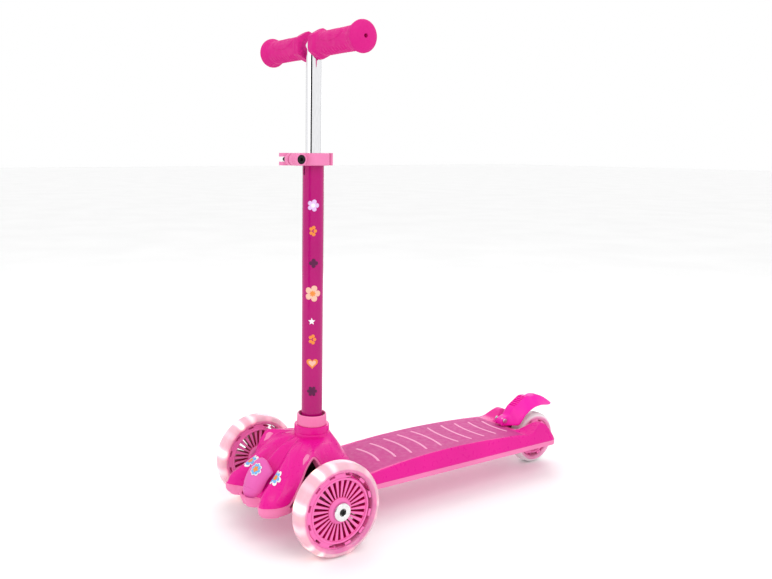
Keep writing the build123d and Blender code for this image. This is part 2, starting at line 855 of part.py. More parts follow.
yoke_x = kingpin_x + kingpin_r + 4
yoke_outline = [
    (-yoke_x, -yoke_front),
    (yoke_x, -yoke_front),
    (yoke_x, yoke_back),
    (-yoke_x, yoke_back),
]
spine_outline = [
    (-yoke_spine_half, -yoke_front),
    (yoke_spine_half, -yoke_front),
    (yoke_spine_half, yoke_back),
    (-yoke_spine_half, yoke_back),
]

with BuildPart() as steering_yoke:
    add(yoke_prism(yoke_outline, -yoke_outer, -yoke_inner))
    add(yoke_prism(yoke_outline, yoke_inner, yoke_outer))
    add(yoke_prism(spine_outline, -yoke_inner, yoke_inner))
    for x in (-kingpin_x, kingpin_x):
        add(yoke_prism(kingpin_r, -yoke_outer - 1, yoke_outer + 1, x), mode=Mode.SUBTRACT)
    for x in (-yoke_screw_x, yoke_screw_x):
        add(yoke_prism(yoke_screw_r, -yoke_outer - 1, 0, x), mode=Mode.SUBTRACT)
finish(steering_yoke, "steering_yoke")

with BuildPart() as yoke_screws:
    for x in (-yoke_screw_x, yoke_screw_x):
        add(yoke_prism(yoke_screw_r, -yoke_outer - yoke_screw_depth, -yoke_inner, x))
        add(yoke_prism(yoke_screw_head_r, -yoke_inner, -yoke_inner + 1.8, x))
finish(yoke_screws, "yoke_screws")

pin_head = 1.5
for side, name in ((1, "kingpin_left"), (-1, "kingpin_right")):
    with BuildPart() as kingpin:
        add(yoke_prism(kingpin_r, -yoke_outer, yoke_outer, side * kingpin_x))
        add(yoke_prism(kingpin_r + 2, yoke_outer, yoke_outer + pin_head, side * kingpin_x))
    finish(kingpin, name)

arm_end_x = half_track - tyre_width / 2 - 0.5
tie_low = 3.0  # the tie bar lies this far above the middle of the knuckles
tie_arm_thick = 5.0

with BuildPart() as knuckle_left:
    add(yoke_prism(knuckle_r, -knuckle_half, knuckle_half, kingpin_x))
    # arm out to the axle
    with BuildSketch(axle_plane(kingpin_x, front_y, front_wheel_r)):
        RectangleRounded(13, 14, 3)
    extrude(amount=arm_end_x - kingpin_x - 10)
    with BuildSketch(axle_plane(arm_end_x - 22, front_y, front_wheel_r)):
        Circle(9.5)
    extrude(amount=22)
    # short arm forward to the tie bar
    arm_outline = [
        (kingpin_x - 5, -tie_arm - 5),
        (kingpin_x + 5, -tie_arm - 5),
        (kingpin_x + 5, 0),
        (kingpin_x - 5, 0),
    ]
    add(yoke_prism(arm_outline, tie_low - tie_arm_thick, tie_low))
    add(
        yoke_prism(kingpin_r + running, -yoke_outer, yoke_outer, kingpin_x),
        mode=Mode.SUBTRACT,
    )
    add(yoke_prism(tie_pin_r, -20.0, 20.0, kingpin_x, -tie_arm), mode=Mode.SUBTRACT)
    with BuildSketch(axle_plane(arm_end_x - 30, front_y, front_wheel_r)):
        Circle(axle_r)
    extrude(amount=40, mode=Mode.SUBTRACT)
finish(knuckle_left, "knuckle_left")
knuckle_right = mirrored(knuckle_left, "knuckle_right")

with BuildPart() as tie_pin_left:
    pin_top = tie_low + plate_gap + tie_bar_thick + plate_gap
    add(yoke_prism(tie_pin_r, tie_low - tie_arm_thick, pin_top, kingpin_x, -tie_arm))
    add(yoke_prism(tie_pin_r + 1.5, pin_top, pin_top + 1.5, kingpin_x, -tie_arm))
finish(tie_pin_left, "tie_pin_left")
tie_pin_right = mirrored(tie_pin_left, "tie_pin_right")

tie_outline = [
    (-kingpin_x, -tie_arm - tie_bar_half_width),
    (kingpin_x, -tie_arm - tie_bar_half_width),
    (kingpin_x, -tie_arm + tie_bar_half_width),
    (-kingpin_x, -tie_arm + tie_bar_half_width),
]
bar_low = tie_low + plate_gap
bar_top = bar_low + tie_bar_thick

with BuildPart() as tie_bar:
    add(yoke_prism(tie_outline, bar_low, bar_top))
    for side in (-1, 1):
        add(yoke_prism(tie_bar_half_width, bar_low, bar_top, side * kingpin_x, -tie_arm))
    for side, gap in ((1, running), (-1, slack_hole)):
        add(
            yoke_prism(tie_pin_r + gap, bar_low - 1, bar_top + 1, side * kingpin_x, -tie_arm),
            mode=Mode.SUBTRACT,
        )
finish(tie_bar, "tie_bar")

# =====================================================================================
# Axles and wheels
# =====================================================================================


def ring(plane, outer, inner, width):
    """Ring centred on a plane's origin, standing width along its normal."""
    with BuildPart() as piece:
        with BuildSketch(plane):
            Circle(outer)
            Circle(inner, mode=Mode.SUBTRACT)
        extrude(amount=width)
    return piece


def spoked_core(x, y, z, rim_r, web_r, core_width, slots, windows):
    """Wheel core: hub, slotted web and a windowed rim whose edge is notched for the tyre."""
    with BuildPart() as core:
        for radius, width in ((hub_r, hub_width), (web_r, web_width), (rim_r, core_width)):
            with BuildSketch(axle_plane(x - width / 2, y, z)):
                Circle(radius)
                if radius == rim_r:
                    Circle(web_r, mode=Mode.SUBTRACT)
            extrude(amount=width)
        with BuildSketch(axle_plane(x - web_width, y, z)):
            inner = hub_r + 2.5
            outer = web_r - 2.0
            with PolarLocations(0, slots):
                share = slot_share * pi / slots
                Polygon(
                    (inner, -inner * share),
                    (outer, -outer * share),
                    (outer, outer * share),
                    (inner, inner * share),
                    align=None,
                )
        extrude(amount=2 * web_width, mode=Mode.SUBTRACT)
        with BuildSketch(axle_plane(x - core_width, y, z)):
            with PolarLocations((web_r + rim_r) / 2 - 0.5, windows):
                Rectangle(2.6, (rim_r + web_r) * pi / windows / 3.2)
        extrude(amount=2 * core_width, mode=Mode.SUBTRACT)
        with BuildSketch(axle_plane(x - hub_width, y, z)):
            Circle(bearing_r - 2.5)
        extrude(amount=2 * hub_width, mode=Mode.SUBTRACT)
        for end in (-1, 1):
            with BuildSketch(axle_plane(x + end * hub_width / 2, y, z)):
                Circle(bearing_r)
            extrude(amount=-end * bearing_width, mode=Mode.SUBTRACT)
    return core


def tyre_ring(x, y, z, outer_r, bore_r):
    """Cast tyre with a rounded tread, standing on its core."""
    with BuildPart() as tyre:
        with BuildSketch(axle_plane(x - tyre_width / 2, y, z)):
            Circle(outer_r)
            Circle(bore_r, mode=Mode.SUBTRACT)
        extrude(amount=tyre_width)
        fillet(tyre.edges().filter_by(GeomType.CIRCLE).group_by(SortBy.RADIUS)[-1], tread_r)
    return tyre


def bearing_pair(x, y, z):
    """Two bearings in the ends of a hub."""
    with BuildPart() as pair:
        for end in (-1, 1):
            with BuildSketch(axle_plane(x + end * hub_width / 2, y, z)):
                Circle(bearing_r)
                Circle(axle_r + running, mode=Mode.SUBTRACT)
            extrude(amount=-end * bearing_width)
    return pair


led_r = 3.0
led_seat_r = front_core_r + 2.0
for side, name in ((1, "left"), (-1, "right")):
    wheel = (side * half_track, front_y, front_wheel_r)
    core = spoked_core(
        *wheel, front_core_r, front_web_r, front_core_width, front_slot_count, front_window_count
    )
    with BuildPart() as leds:
        with BuildSketch(axle_plane(wheel[0] - 5, front_y, front_wheel_r)):
            with PolarLocations(led_seat_r, led_count):
                Circle(led_r)
        extrude(amount=10)
    with BuildPart() as front_core:
        add(core.part)
        add(leds.part, mode=Mode.SUBTRACT)
    finish(front_core, f"front_wheel_core_{name}")
    with BuildPart() as front_tyre:
        add(tyre_ring(*wheel, front_wheel_r, front_core_r).part)
        add(leds.part, mode=Mode.SUBTRACT)
    finish(front_tyre, f"front_tyre_{name}")
    finish(leds, f"led_capsules_{name}")
    finish(bearing_pair(*wheel), f"front_bearings_{name}")

hub_end_x = half_track + hub_width / 2
cap_low_x = hub_end_x + free_gap

with BuildPart() as front_axle_left:
    with BuildSketch(axle_plane(arm_end_x - 30, front_y, front_wheel_r)):
        Circle(axle_r)
    extrude(amount=cap_low_x - arm_end_x + 30)
    with BuildSketch(axle_plane(cap_low_x, front_y, front_wheel_r)):
        Circle(cap_screw_r)
    extrude(amount=-10, mode=Mode.SUBTRACT)
finish(front_axle_left, "front_axle_left")
front_axle_right = mirrored(front_axle_left, "front_axle_right")

with BuildPart() as axle_cap_left:
    with BuildSketch(axle_plane(cap_low_x, front_y, front_wheel_r)):
        Circle(cap_r)
    extrude(amount=cap_thick)
    chamfer(axle_cap_left.faces().sort_by(Axis.X)[-1].edges(), 0.8)
    with BuildSketch(axle_plane(cap_low_x, front_y, front_wheel_r)):
        Circle(cap_screw_r)
    extrude(amount=cap_thick, mode=Mode.SUBTRACT)
    with BuildSketch(axle_plane(cap_low_x + cap_thick, front_y, front_wheel_r)):
        Circle(cap_screw_head_r)
    extrude(amount=-1.5, mode=Mode.SUBTRACT)
finish(axle_cap_left, "axle_cap_left")
axle_cap_right = mirrored(axle_cap_left, "axle_cap_right")

with BuildPart() as cap_screw_left:
    with BuildSketch(axle_plane(cap_low_x - 9, front_y, front_wheel_r)):
        Circle(cap_screw_r)
    extrude(amount=9 + cap_thick - 1.5)
    with BuildSketch(axle_plane(cap_low_x + cap_thick - 1.5, front_y, front_wheel_r)):
        Circle(cap_screw_head_r)
    extrude(amount=1.3)
    with BuildSketch(axle_plane(cap_low_x + cap_thick, front_y, front_wheel_r)):
        RegularPolygon(1.9, 6)
    extrude(amount=-1.2, mode=Mode.SUBTRACT)
finish(cap_screw_left, "cap_screw_left")
cap_screw_right = mirrored(cap_screw_left, "cap_screw_right")

with BuildPart() as magnet_sleeve_left:
    sleeve_half = hub_width / 2 - bearing_width - 0.3
    with BuildSketch(axle_plane(half_track - sleeve_half, front_y, front_wheel_r)):
        Circle(bearing_r - 3.5)
        Circle(axle_r, mode=Mode.SUBTRACT)
    extrude(amount=2 * sleeve_half)
finish(magnet_sleeve_left, "magnet_sleeve_left")
magnet_sleeve_right = mirrored(magnet_sleeve_left, "magnet_sleeve_right")

rear_wheel = (0, rear_y, rear_axle_z)
rear_core = spoked_core(
    *rear_wheel, rear_core_r, rear_web_r, front_core_width, rear_slot_count, rear_window_count
)
finish(rear_core, "rear_wheel_core")
finish(tyre_ring(*rear_wheel, rear_wheel_r, rear_core_r), "rear_tyre")
finish(bearing_pair(*rear_wheel), "rear_bearings")

fork_out_x = slot_half + fork_thick
nut_thick = 4.5
with BuildPart() as rear_axle:
    with BuildSketch(axle_plane(-fork_out_x - 7, rear_y, rear_axle_z)):
        Circle(axle_r)
    extrude(amount=2 * fork_out_x + 7)
    with BuildSketch(axle_plane(fork_out_x, rear_y, rear_axle_z)):
        Circle(6.5)
    extrude(amount=4)
    with BuildSketch(axle_plane(fork_out_x + 4, rear_y, rear_axle_z)):
        RegularPolygon(2.8, 6)
    extrude(amount=-2.5, mode=Mode.SUBTRACT)
finish(rear_axle, "rear_axle")

with BuildPart() as rear_axle_nut:
    with BuildSketch(axle_plane(-fork_out_x, rear_y, rear_axle_z)):
        RegularPolygon(7.0, 6)
        Circle(axle_r, mode=Mode.SUBTRACT)
    extrude(amount=-nut_thick)
finish(rear_axle_nut, "rear_axle_nut")

with BuildPart() as rear_spacers:
    spacer_in = hub_width / 2 + 0.3
    for side in (-1, 1):
        with BuildSketch(axle_plane(side * spacer_in, rear_y, rear_axle_z)):
            Circle(6.5)
            Circle(axle_r, mode=Mode.SUBTRACT)
        extrude(amount=side * (slot_half - spacer_in))
finish(rear_spacers, "rear_spacers")

# =====================================================================================
# Rear brake
# =====================================================================================

pin_y = front_y + brake_pin_behind
fender_low_z = brake_pin_z - 8
press_room = 3.0  # that the lower edge rises by towards the wheel, clear of the deck when pressed
fender_tread_y = front_y + 401.0  # foot of the ribbed slope that the heel presses
fender_tread_z = 97.5
fender_crest_y = front_y + 426.0
fender_crest_z = 110.8
fender_tip_y = front_y + 485.0
fender_tip_z = 91.0
belly_peak_z = 95.0  # of the fender's lower edge, over the wheel


def fender_roof(drop):
    """The fender's top line in side view, from its hinge to its beak, lowered by drop."""
    front = Polyline(
        (pin_y - 8 + drop, fender_low_z + 2),
        (pin_y - 7 + drop, brake_pin_z + 3 - drop),
        (fender_tread_y, fender_tread_z - drop),
        (fender_crest_y, fender_crest_z - drop),
        (fender_crest_y + 10, fender_crest_z - 2 - drop),
    )
    hump = Spline(
        front @ 1,
        (fender_crest_y + 19, fender_crest_z - 0.8 - drop),
        (fender_crest_y + 33, fender_crest_z - 4 - drop),
        (fender_tip_y - 2 * drop, fender_tip_z - drop / 2),
    )
    return front @ 0, hump @ 1


def fender_block(drop):
    """Everything under the fender's roof and sloping flanks, lowered by drop."""
    with BuildSketch(side_plane(0)) as roof:
        with BuildLine():
            first, last = fender_roof(drop)
            Polyline(last, (last.X, fender_low_z - 30), (first.X, fender_low_z - 30), first)
        make_face()
    out = fender_half - fender_top_half
    with BuildPart() as block:
        extrude(roof.sketch, amount=fender_top_half, both=True)
        for side in (-1, 1):
            flank = Location((side * (fender_top_half - 0.01), 0, 0)) * roof.sketch
            reach = hypot(out, fender_fall * out)
            extrude(flank, amount=reach, dir=(side, 0, -fender_fall))
    return block


def fender_plan(inset):
    """Plan of the fender, narrow at its hinge, pulled in by inset."""
    ear = fender_ear_half - inset
    half = fender_half - inset
    with BuildPart() as plan:
        with BuildSketch(Plane.XY.offset(fender_low_z - 20)):
            with BuildLine():
                left = Polyline(
                    (ear, pin_y - 12),
                    (ear, pin_y + 5),
                    (half, fender_tread_y),
                    (half, fender_crest_y + 12),
                    (half - 3, fender_tip_y - 22),
                    (fender_top_half - 3, fender_tip_y),
                )
                mirror(left, about=Plane.YZ)
                Line((ear, pin_y - 12), (-ear, pin_y - 12))
                Line((fender_top_half - 3, fender_tip_y), (3 - fender_top_half, fender_tip_y))
            make_face()
        extrude(amount=80)
    return plan


with BuildPart() as brake_fender:
    with BuildSketch(side_plane(-fender_half)):
        with BuildLine():
            first, last = fender_roof(0)
            Polyline(last, (fender_tip_y - 3, fender_tip_z - 3.5), (rear_y + 18, belly_peak_z - 4))
            belly = Spline(
                (rear_y + 18, belly_peak_z - 4),
                (rear_y - 6, belly_peak_z),
                (rear_y - 28, belly_peak_z - 7),
                (fender_tread_y + 2, fender_low_z + press_room + 1),
            )
            low = fender_low_z + press_room
            Polyline(belly @ 1, (fender_tread_y - 4, low), (pin_y, fender_low_z), first)
        make_face()
    extrude(amount=2 * fender_half)
    add(fender_block(0).part, mode=Mode.INTERSECT)
    add(fender_plan(0).part, mode=Mode.INTERSECT)
    # hollow underneath
    with BuildPart(mode=Mode.PRIVATE) as hollow:
        add(fender_block(fender_wall).part)
        add(fender_plan(fender_wall).part, mode=Mode.INTERSECT)
    add(hollow.part, mode=Mode.SUBTRACT)
    # opening in the front for the hinge lug and its spring
    with Locations((0, pin_y - 4, fender_low_z)):
        Box(
            2 * (fender_ear_half - fender_wall),
            20,
            2 * (brake_pin_z - fender_low_z + 8),
            mode=Mode.SUBTRACT,
        )
    # block that carries the pad
    pad_z = 2 * rear_wheel_r + pad_gap + pad_thick
    with Locations((0, rear_y, (pad_z + fender_crest_z - 2) / 2)):
        Box(2 * fender_top_half, pad_length, fender_crest_z - 2 - pad_z)
    with Locations((0, rear_y, (pad_z + pad_block_top) / 2)):
        Box(2 * pad_half, pad_length, pad_block_top - pad_z)
    with BuildSketch(side_plane(-fender_half)):
        with Locations((pin_y, brake_pin_z)):
            Circle(brake_pin_r + running)
    extrude(amount=2 * fender_half, mode=Mode.SUBTRACT)
finish(brake_fender, "brake_fender")

with BuildPart() as brake_pad:
    with Locations((0, rear_y, pad_z - pad_thick / 2)):
        Box(2 * pad_half, pad_length, pad_thick)
finish(brake_pad, "brake_pad")

with BuildPart() as brake_pin:
    with BuildSketch(side_plane(-fender_ear_half - free_gap)):
        with Locations((pin_y, brake_pin_z)):
            Circle(brake_pin_r)
    extrude(amount=2 * (fender_ear_half + free_gap))
    for side in (-1, 1):
        with BuildSketch(side_plane(side * (fender_ear_half + free_gap))):
            with Locations((pin_y, brake_pin_z)):
                Circle(brake_pin_r + 0.9)
        extrude(amount=side * 1.6)
finish(brake_pin, "brake_pin")

with BuildPart() as brake_spring:
    spring_wire_r = 0.4
    coil_r = brake_pin_r + spring_wire_r + 0.3
    coil_x = lug_half + spring_room + spring_wire_r
    coil_length = fender_ear_half - fender_wall - spring_room - spring_wire_r - coil_x
    with BuildLine():
        coil = Helix(
            coil_length / 1.6,
            coil_length,
            coil_r,
            center=(coil_x, pin_y, brake_pin_z),
            direction=(1, 0, 0),
        )
    with BuildSketch(Plane(origin=coil @ 0, z_dir=coil % 0)):
        Circle(spring_wire_r)
    sweep(path=coil)
finish(brake_spring, "brake_spring")

# =====================================================================================
# Screws that hold the shells together
# =====================================================================================

with BuildPart() as shell_screws:
    for x, y in screw_places:
        with Locations((x, y, tray_z + floor_thick / 2 + 4)):
            Cylinder(shell_screw_r, floor_thick + 8)
        with Locations((x, y, tray_z - 0.8)):
            Cylinder(shell_screw_head_r, 1.6)
finish(shell_screws, "shell_screws")
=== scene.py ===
import json
from math import atan2, cos, hypot, pi, radians, sin, sqrt

import bmesh
import bpy
from mathutils import Matrix, Vector


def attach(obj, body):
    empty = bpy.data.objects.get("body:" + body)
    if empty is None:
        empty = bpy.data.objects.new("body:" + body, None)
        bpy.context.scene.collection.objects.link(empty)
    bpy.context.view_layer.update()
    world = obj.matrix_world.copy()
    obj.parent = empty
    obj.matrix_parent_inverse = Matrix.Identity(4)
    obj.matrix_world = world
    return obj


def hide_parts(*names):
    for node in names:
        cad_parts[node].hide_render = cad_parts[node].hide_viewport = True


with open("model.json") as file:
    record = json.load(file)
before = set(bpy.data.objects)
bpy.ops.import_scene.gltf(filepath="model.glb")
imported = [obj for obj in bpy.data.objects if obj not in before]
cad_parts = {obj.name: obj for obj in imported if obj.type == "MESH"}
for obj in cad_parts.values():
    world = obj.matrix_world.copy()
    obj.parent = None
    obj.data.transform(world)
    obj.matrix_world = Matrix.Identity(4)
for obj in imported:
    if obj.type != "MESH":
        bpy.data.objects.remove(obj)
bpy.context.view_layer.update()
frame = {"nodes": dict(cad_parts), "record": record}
NODES = frame["nodes"]
MM = 0.001

# Places shared with the CAD, in millimetres
FRONT_Y = -204.5
REAR_Y = 241.5
COLUMN_Y = -175.5
TRACK = 105.5
BAR_Z = 630.0


# ---------------------------------------------------------------- materials
def new_material(name, base, rough, metallic=0.0, **sockets):
    """A Principled material with the given colour, roughness, metalness and other sockets."""
    mat = bpy.data.materials.new(name)
    mat.use_nodes = True
    tree = mat.node_tree
    shader = tree.nodes["Principled BSDF"]
    shader.inputs["Base Color"].default_value = (*base, 1)
    shader.inputs["Roughness"].default_value = rough
    shader.inputs["Metallic"].default_value = metallic
    shader.inputs["Specular IOR Level"].default_value = 0.5 if metallic else 0.22
    for key, value in sockets.items():
        shader.inputs[key.replace("_", " ")].default_value = value
    mat.diffuse_color = (*base, 1)
    return mat, tree, shader


def noise(tree, scale, detail=3.0, stretch=(1, 1, 1)):
    coord = tree.nodes.new("ShaderNodeTexCoord")
    mapping = tree.nodes.new("ShaderNodeMapping")
    mapping.inputs["Scale"].default_value = stretch
    tree.links.new(coord.outputs["Object"], mapping.inputs["Vector"])
    tex = tree.nodes.new("ShaderNodeTexNoise")
    tex.inputs["Scale"].default_value = scale
    tex.inputs["Detail"].default_value = detail
    tree.links.new(mapping.outputs["Vector"], tex.inputs["Vector"])
    return tex.outputs["Fac"]


def ramp(tree, value, low, high, start=0.35, end=0.65):
    node = tree.nodes.new("ShaderNodeMapRange")
    node.inputs["From Min"].default_value = start
    node.inputs["From Max"].default_value = end
    node.inputs["To Min"].default_value = low
    node.inputs["To Max"].default_value = high
    tree.links.new(value, node.inputs["Value"])
    return node.outputs["Result"]


def tint(tree, shader, value, dark, light):
    mix = tree.nodes.new("ShaderNodeMix")
    mix.data_type = "RGBA"
    mix.inputs["A"].default_value = (*dark, 1)
    mix.inputs["B"].default_value = (*light, 1)
    tree.links.new(value, mix.inputs["Factor"])
    tree.links.new(mix.outputs["Result"], shader.inputs["Base Color"])
    return mix


def bump(tree, shader, value, strength, distance=0.0003):
    node = tree.nodes.new("ShaderNodeBump")
    node.inputs["Strength"].default_value = strength
    node.inputs["Distance"].default_value = distance
    tree.links.new(value, node.inputs["Height"])
    tree.links.new(node.outputs["Normal"], shader.inputs["Normal"])


def scaled(colour, share):
    return tuple(min(c * share, 1.0) for c in colour)


def plastic(name, base, rough, grain=900, spread=0.05, depth=0.06, **sockets):
    """Moulded plastic: cloudy pigment, fine moulded grain and faint wear in the gloss."""
    mat, tree, shader = new_material(name, base, rough, **sockets)
    clouds = ramp(tree, noise(tree, 14, 2), 0, 1, 0.3, 0.7)
    tint(tree, shader, clouds, scaled(base, 1 - spread), scaled(base, 1 + spread))
    wear = noise(tree, 160, 4)
    gloss = ramp(tree, wear, rough * 0.85, rough * 1.2)
    tree.links.new(gloss, shader.inputs["Roughness"])
    bump(tree, shader, noise(tree, grain, 2), depth)
    return mat


def metal(name, base, rough, stretch, **sockets):
    """Drawn or plated metal with fine lines along its working direction."""
    mat, tree, shader = new_material(name, base, rough, 1.0, **sockets)
    lines = noise(tree, 300, 3, stretch)
    tint(tree, shader, ramp(tree, lines, 0, 1), scaled(base, 0.92), scaled(base, 1.05))
    tree.links.new(ramp(tree, lines, rough * 0.8, rough * 1.3), shader.inputs["Roughness"])
    bump(tree, shader, lines, 0.04, 0.0001)
    return mat


MATERIALS = {
    "magenta_shell": plastic("magenta_shell", (0.70, 0.004, 0.26), 0.3, Coat_Weight=0.05),
    "deck_top": plastic("deck_top", (0.50, 0.04, 0.23), 0.55, grain=1500, depth=0.25),
    "fender_magenta": plastic("fender_magenta", (0.80, 0.004, 0.36), 0.34, Coat_Weight=0.05),
    "pink_shell": plastic("pink_shell", (0.80, 0.20, 0.42), 0.4),
    "pink_toe": plastic("pink_toe", (0.70, 0.11, 0.41), 0.38),
    "pink_strip": plastic("pink_strip", (0.78, 0.32, 0.52), 0.5),
    "pink_collar": plastic("pink_collar", (0.82, 0.20, 0.42), 0.36),
    "pink_clamp": plastic("pink_clamp", (0.76, 0.21, 0.42), 0.45),
    "pink_core": plastic("pink_core", (0.86, 0.17, 0.46), 0.36),
    "grey_nylon": plastic("grey_nylon", (0.03, 0.028, 0.03), 0.5),
    "dark_nylon": plastic("dark_nylon", (0.10, 0.012, 0.04), 0.5),
    "magenta_tube": plastic("magenta_tube", (0.42, 0.002, 0.15), 0.18, grain=400, depth=0.02,
            Coat_Weight=0.12),
    "magenta_rubber": plastic("magenta_rubber", (0.62, 0.006, 0.21), 0.6, grain=1800, depth=0.3),
    "steel": metal("steel", (0.62, 0.62, 0.62), 0.3, (1, 8, 8)),
    "cap_steel": metal("cap_steel", (0.78, 0.78, 0.78), 0.18, (8, 1, 1)),
    "bearing_steel": metal("bearing_steel", (0.5, 0.5, 0.5), 0.3, (8, 1, 1)),
    "black_steel": metal("black_steel", (0.03, 0.03, 0.03), 0.4, (1, 1, 6)),
    "magnet": metal("magnet", (0.3, 0.3, 0.3), 0.35, (8, 1, 1)),
    "chrome": metal("chrome", (0.86, 0.86, 0.88), 0.06, (6, 6, 0.4)),
    # painted shade: darker, redder magenta for the slot walls of the wheel cores, standing in for the shade
    # and tinted light inside the slots
    "core_slot_painted_shade": plastic("core_slot_painted_shade", (0.52, 0.0, 0.10), 0.45),
    "clear_tyre": plastic("clear_tyre", (0.94, 0.50, 0.66), 0.18, Transmission_Weight=0.3),
    "white_tyre": plastic("white_tyre", (0.88, 0.82, 0.84), 0.22, Transmission_Weight=0.08),
    "led": plastic("led", (1.0, 0.92, 0.6), 0.2),
    "print_lilac": plastic("print_lilac", (0.72, 0.50, 0.80), 0.4),
    "print_white": plastic("print_white", (0.85, 0.83, 0.85), 0.4),
    "print_orange": plastic("print_orange", (0.80, 0.25, 0.05), 0.4),
    "print_peach": plastic("print_peach", (0.85, 0.48, 0.36), 0.4),
    "print_dark": plastic("print_dark", (0.10, 0.01, 0.06), 0.4),
    "print_blue": plastic("print_blue", (0.16, 0.42, 0.75), 0.4),
}


def rim_through(mat, clear, rim):
    """Clear tyre that shows the core's coloured rim through its inner part."""
    tree = mat.node_tree
    shader = tree.nodes["Principled BSDF"]
    depth = tree.nodes.new("ShaderNodeAttribute")
    depth.attribute_name = "rim"
    streaks = ramp(tree, noise(tree, 60, 2), 0.75, 1.0)
    share = tree.nodes.new("ShaderNodeMath")
    share.operation = "MULTIPLY"
    tree.links.new(depth.outputs["Fac"], share.inputs[0])
    tree.links.new(streaks, share.inputs[1])
    tint(tree, shader, share.outputs[0], clear, rim)


def light_up(mat):
    """Lamps behind the clear tyre: patches that go from pink to warm white."""
    tree = mat.node_tree
    shader = tree.nodes["Principled BSDF"]
    glow = tree.nodes.new("ShaderNodeAttribute")
    glow.attribute_name = "glow"
    mix = tree.nodes.new("ShaderNodeMix")
    mix.data_type = "RGBA"
    mix.inputs["A"].default_value = (1.0, 0.25, 0.42, 1)
    mix.inputs["B"].default_value = (1.0, 0.92, 0.50, 1)
    tree.links.new(glow.outputs["Fac"], mix.inputs["Factor"])
    tree.links.new(mix.outputs["Result"], shader.inputs["Emission Color"])
    power = ramp(tree, glow.outputs["Fac"], 0.0, 1.3, 0.08, 0.85)
    tree.links.new(power, shader.inputs["Emission Strength"])


light_up(MATERIALS["clear_tyre"])
rim_through(MATERIALS["clear_tyre"], (0.94, 0.60, 0.70), (0.88, 0.24, 0.52))
rim_through(MATERIALS["white_tyre"], (0.88, 0.82, 0.84), (0.86, 0.26, 0.52))
for sub in frame["record"]["subparts"]:
    node = NODES[sub["node"]]
    node.data.materials.clear()
    slot = "black_steel" if sub["node"].startswith("cap_screw") else sub["material_slot"]
    node.data.materials.append(MATERIALS[slot])


# ---------------------------------------------------------------- mesh tools
SCENE = bpy.context.scene


def put(mesh, name, mats, body, replaces=()):
    """Link a mesh, give it its materials and its body, and let it stand for CAD nodes."""
    obj = bpy.data.objects.new(name, mesh)
    SCENE.collection.objects.link(obj)
    for mat in [mats] if isinstance(mats, str) else mats:
        mesh.materials.append(MATERIALS[mat])
    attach(obj, body)
    if replaces:
        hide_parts(*replaces)
    return obj


def close_mesh(bm, name, sharp=35, scale=MM):
    """Turn a bmesh in millimetres into a smooth mesh in metres with sharp creases kept."""
    bmesh.ops.remove_doubles(bm, verts=bm.verts, dist=1e-4)
    bmesh.ops.recalc_face_normals(bm, faces=bm.faces)
    for face in bm.faces:
        face.smooth = True
    for edge in bm.edges:
        if len(edge.link_faces) == 2 and edge.calc_face_angle(0) > radians(sharp):
            edge.smooth = False
    bmesh.ops.scale(bm, vec=(scale, scale, scale), verts=bm.verts)
    mesh = bpy.data.meshes.new(name)
    bm.to_mesh(mesh)
    bm.free()
    return mesh


def grid(bm, rows, wrap=False, skip=None, material=None):
    """Quads over rows of points; wrap joins each row's ends, skip leaves a quad out."""
    verts = [[bm.verts.new(p) for p in row] for row in rows]
    for i in range(len(rows) - 1):
        count = len(rows[i])
        for j in range(count if wrap else count - 1):
            k = (j + 1) % count
            if skip and skip(i, j):
                continue
            face = bm.faces.new((verts[i][j], verts[i][k], verts[i + 1][k], verts[i + 1][j]))
            if material:
                face.material_index = material(i, j)
    return verts


def lathe(bm, centre, axis, profile, count=96, loop=False, material=None):
    """Revolve (along, radius) points about an axis through centre."""
    cx, cy, cz = centre
    rows = []
    for along, radius in profile:
        row = []
        for k in range(count):
            c, s = radius * cos(2 * pi * k / count), radius * sin(2 * pi * k / count)
            if axis == "X":
                row.append((cx + along, cy + c, cz + s))
            elif axis == "Y":
                row.append((cx + s, cy + along, cz + c))
            else:
                row.append((cx + c, cy + s, cz + along))
        rows.append(row)
    if loop:
        rows.append(rows[0])
    grid(bm, rows, wrap=True, material=material)


def soft(points, radius, steps=4, closed=False):
    """Round the corners of a profile."""
    out = []
    count = len(points)
    for i, p in enumerate(points):
        if not closed and i in (0, count - 1):
            out.append(p)
            continue
        a, b = Vector(points[i - 1]), Vector(points[(i + 1) % count])
        corner = Vector(p)
        to_a, to_b = a - corner, b - corner
        reach = min(radius, to_a.length * 0.45, to_b.length * 0.45)
        if reach < 1e-4:
            out.append(p)
            continue
        start = corner + to_a.normalized() * reach
        end = corner + to_b.normalized() * reach
        for k in range(steps + 1):
            t = k / steps
            q = start.lerp(corner, t).lerp(corner.lerp(end, t), t)
            out.append(tuple(q))
    return out


def circle(radius, count=96, start=0.0):
    return [
        (radius * cos(start + 2 * pi * k / count), radius * sin(start + 2 * pi * k / count))
        for k in range(count)
    ]


def plate(bm, loops, half, bevel, matrix):
    """Flat plate with bevelled edges from closed 2-D loops; inner loops are holes."""
    curve = bpy.data.curves.new("plate", "CURVE")
    curve.dimensions, curve.fill_mode = "2D", "BOTH"
    curve.extrude, curve.bevel_depth = half - bevel, bevel
    curve.bevel_resolution, curve.offset = 2, -bevel
    for loop in loops:
        spline = curve.splines.new("POLY")
        spline.points.add(len(loop) - 1)
        for point, (x, y) in zip(spline.points, loop):
            point.co = (x, y, 0, 1)
        spline.use_cyclic_u = True
    obj = bpy.data.objects.new("plate", curve)
    SCENE.collection.objects.link(obj)
    graph = bpy.context.evaluated_depsgraph_get()
    mesh = bpy.data.meshes.new_from_object(obj.evaluated_get(graph))
    bpy.data.objects.remove(obj)
    bpy.data.curves.remove(curve)
    mesh.transform(matrix)
    bm.from_mesh(mesh)
    bpy.data.meshes.remove(mesh)


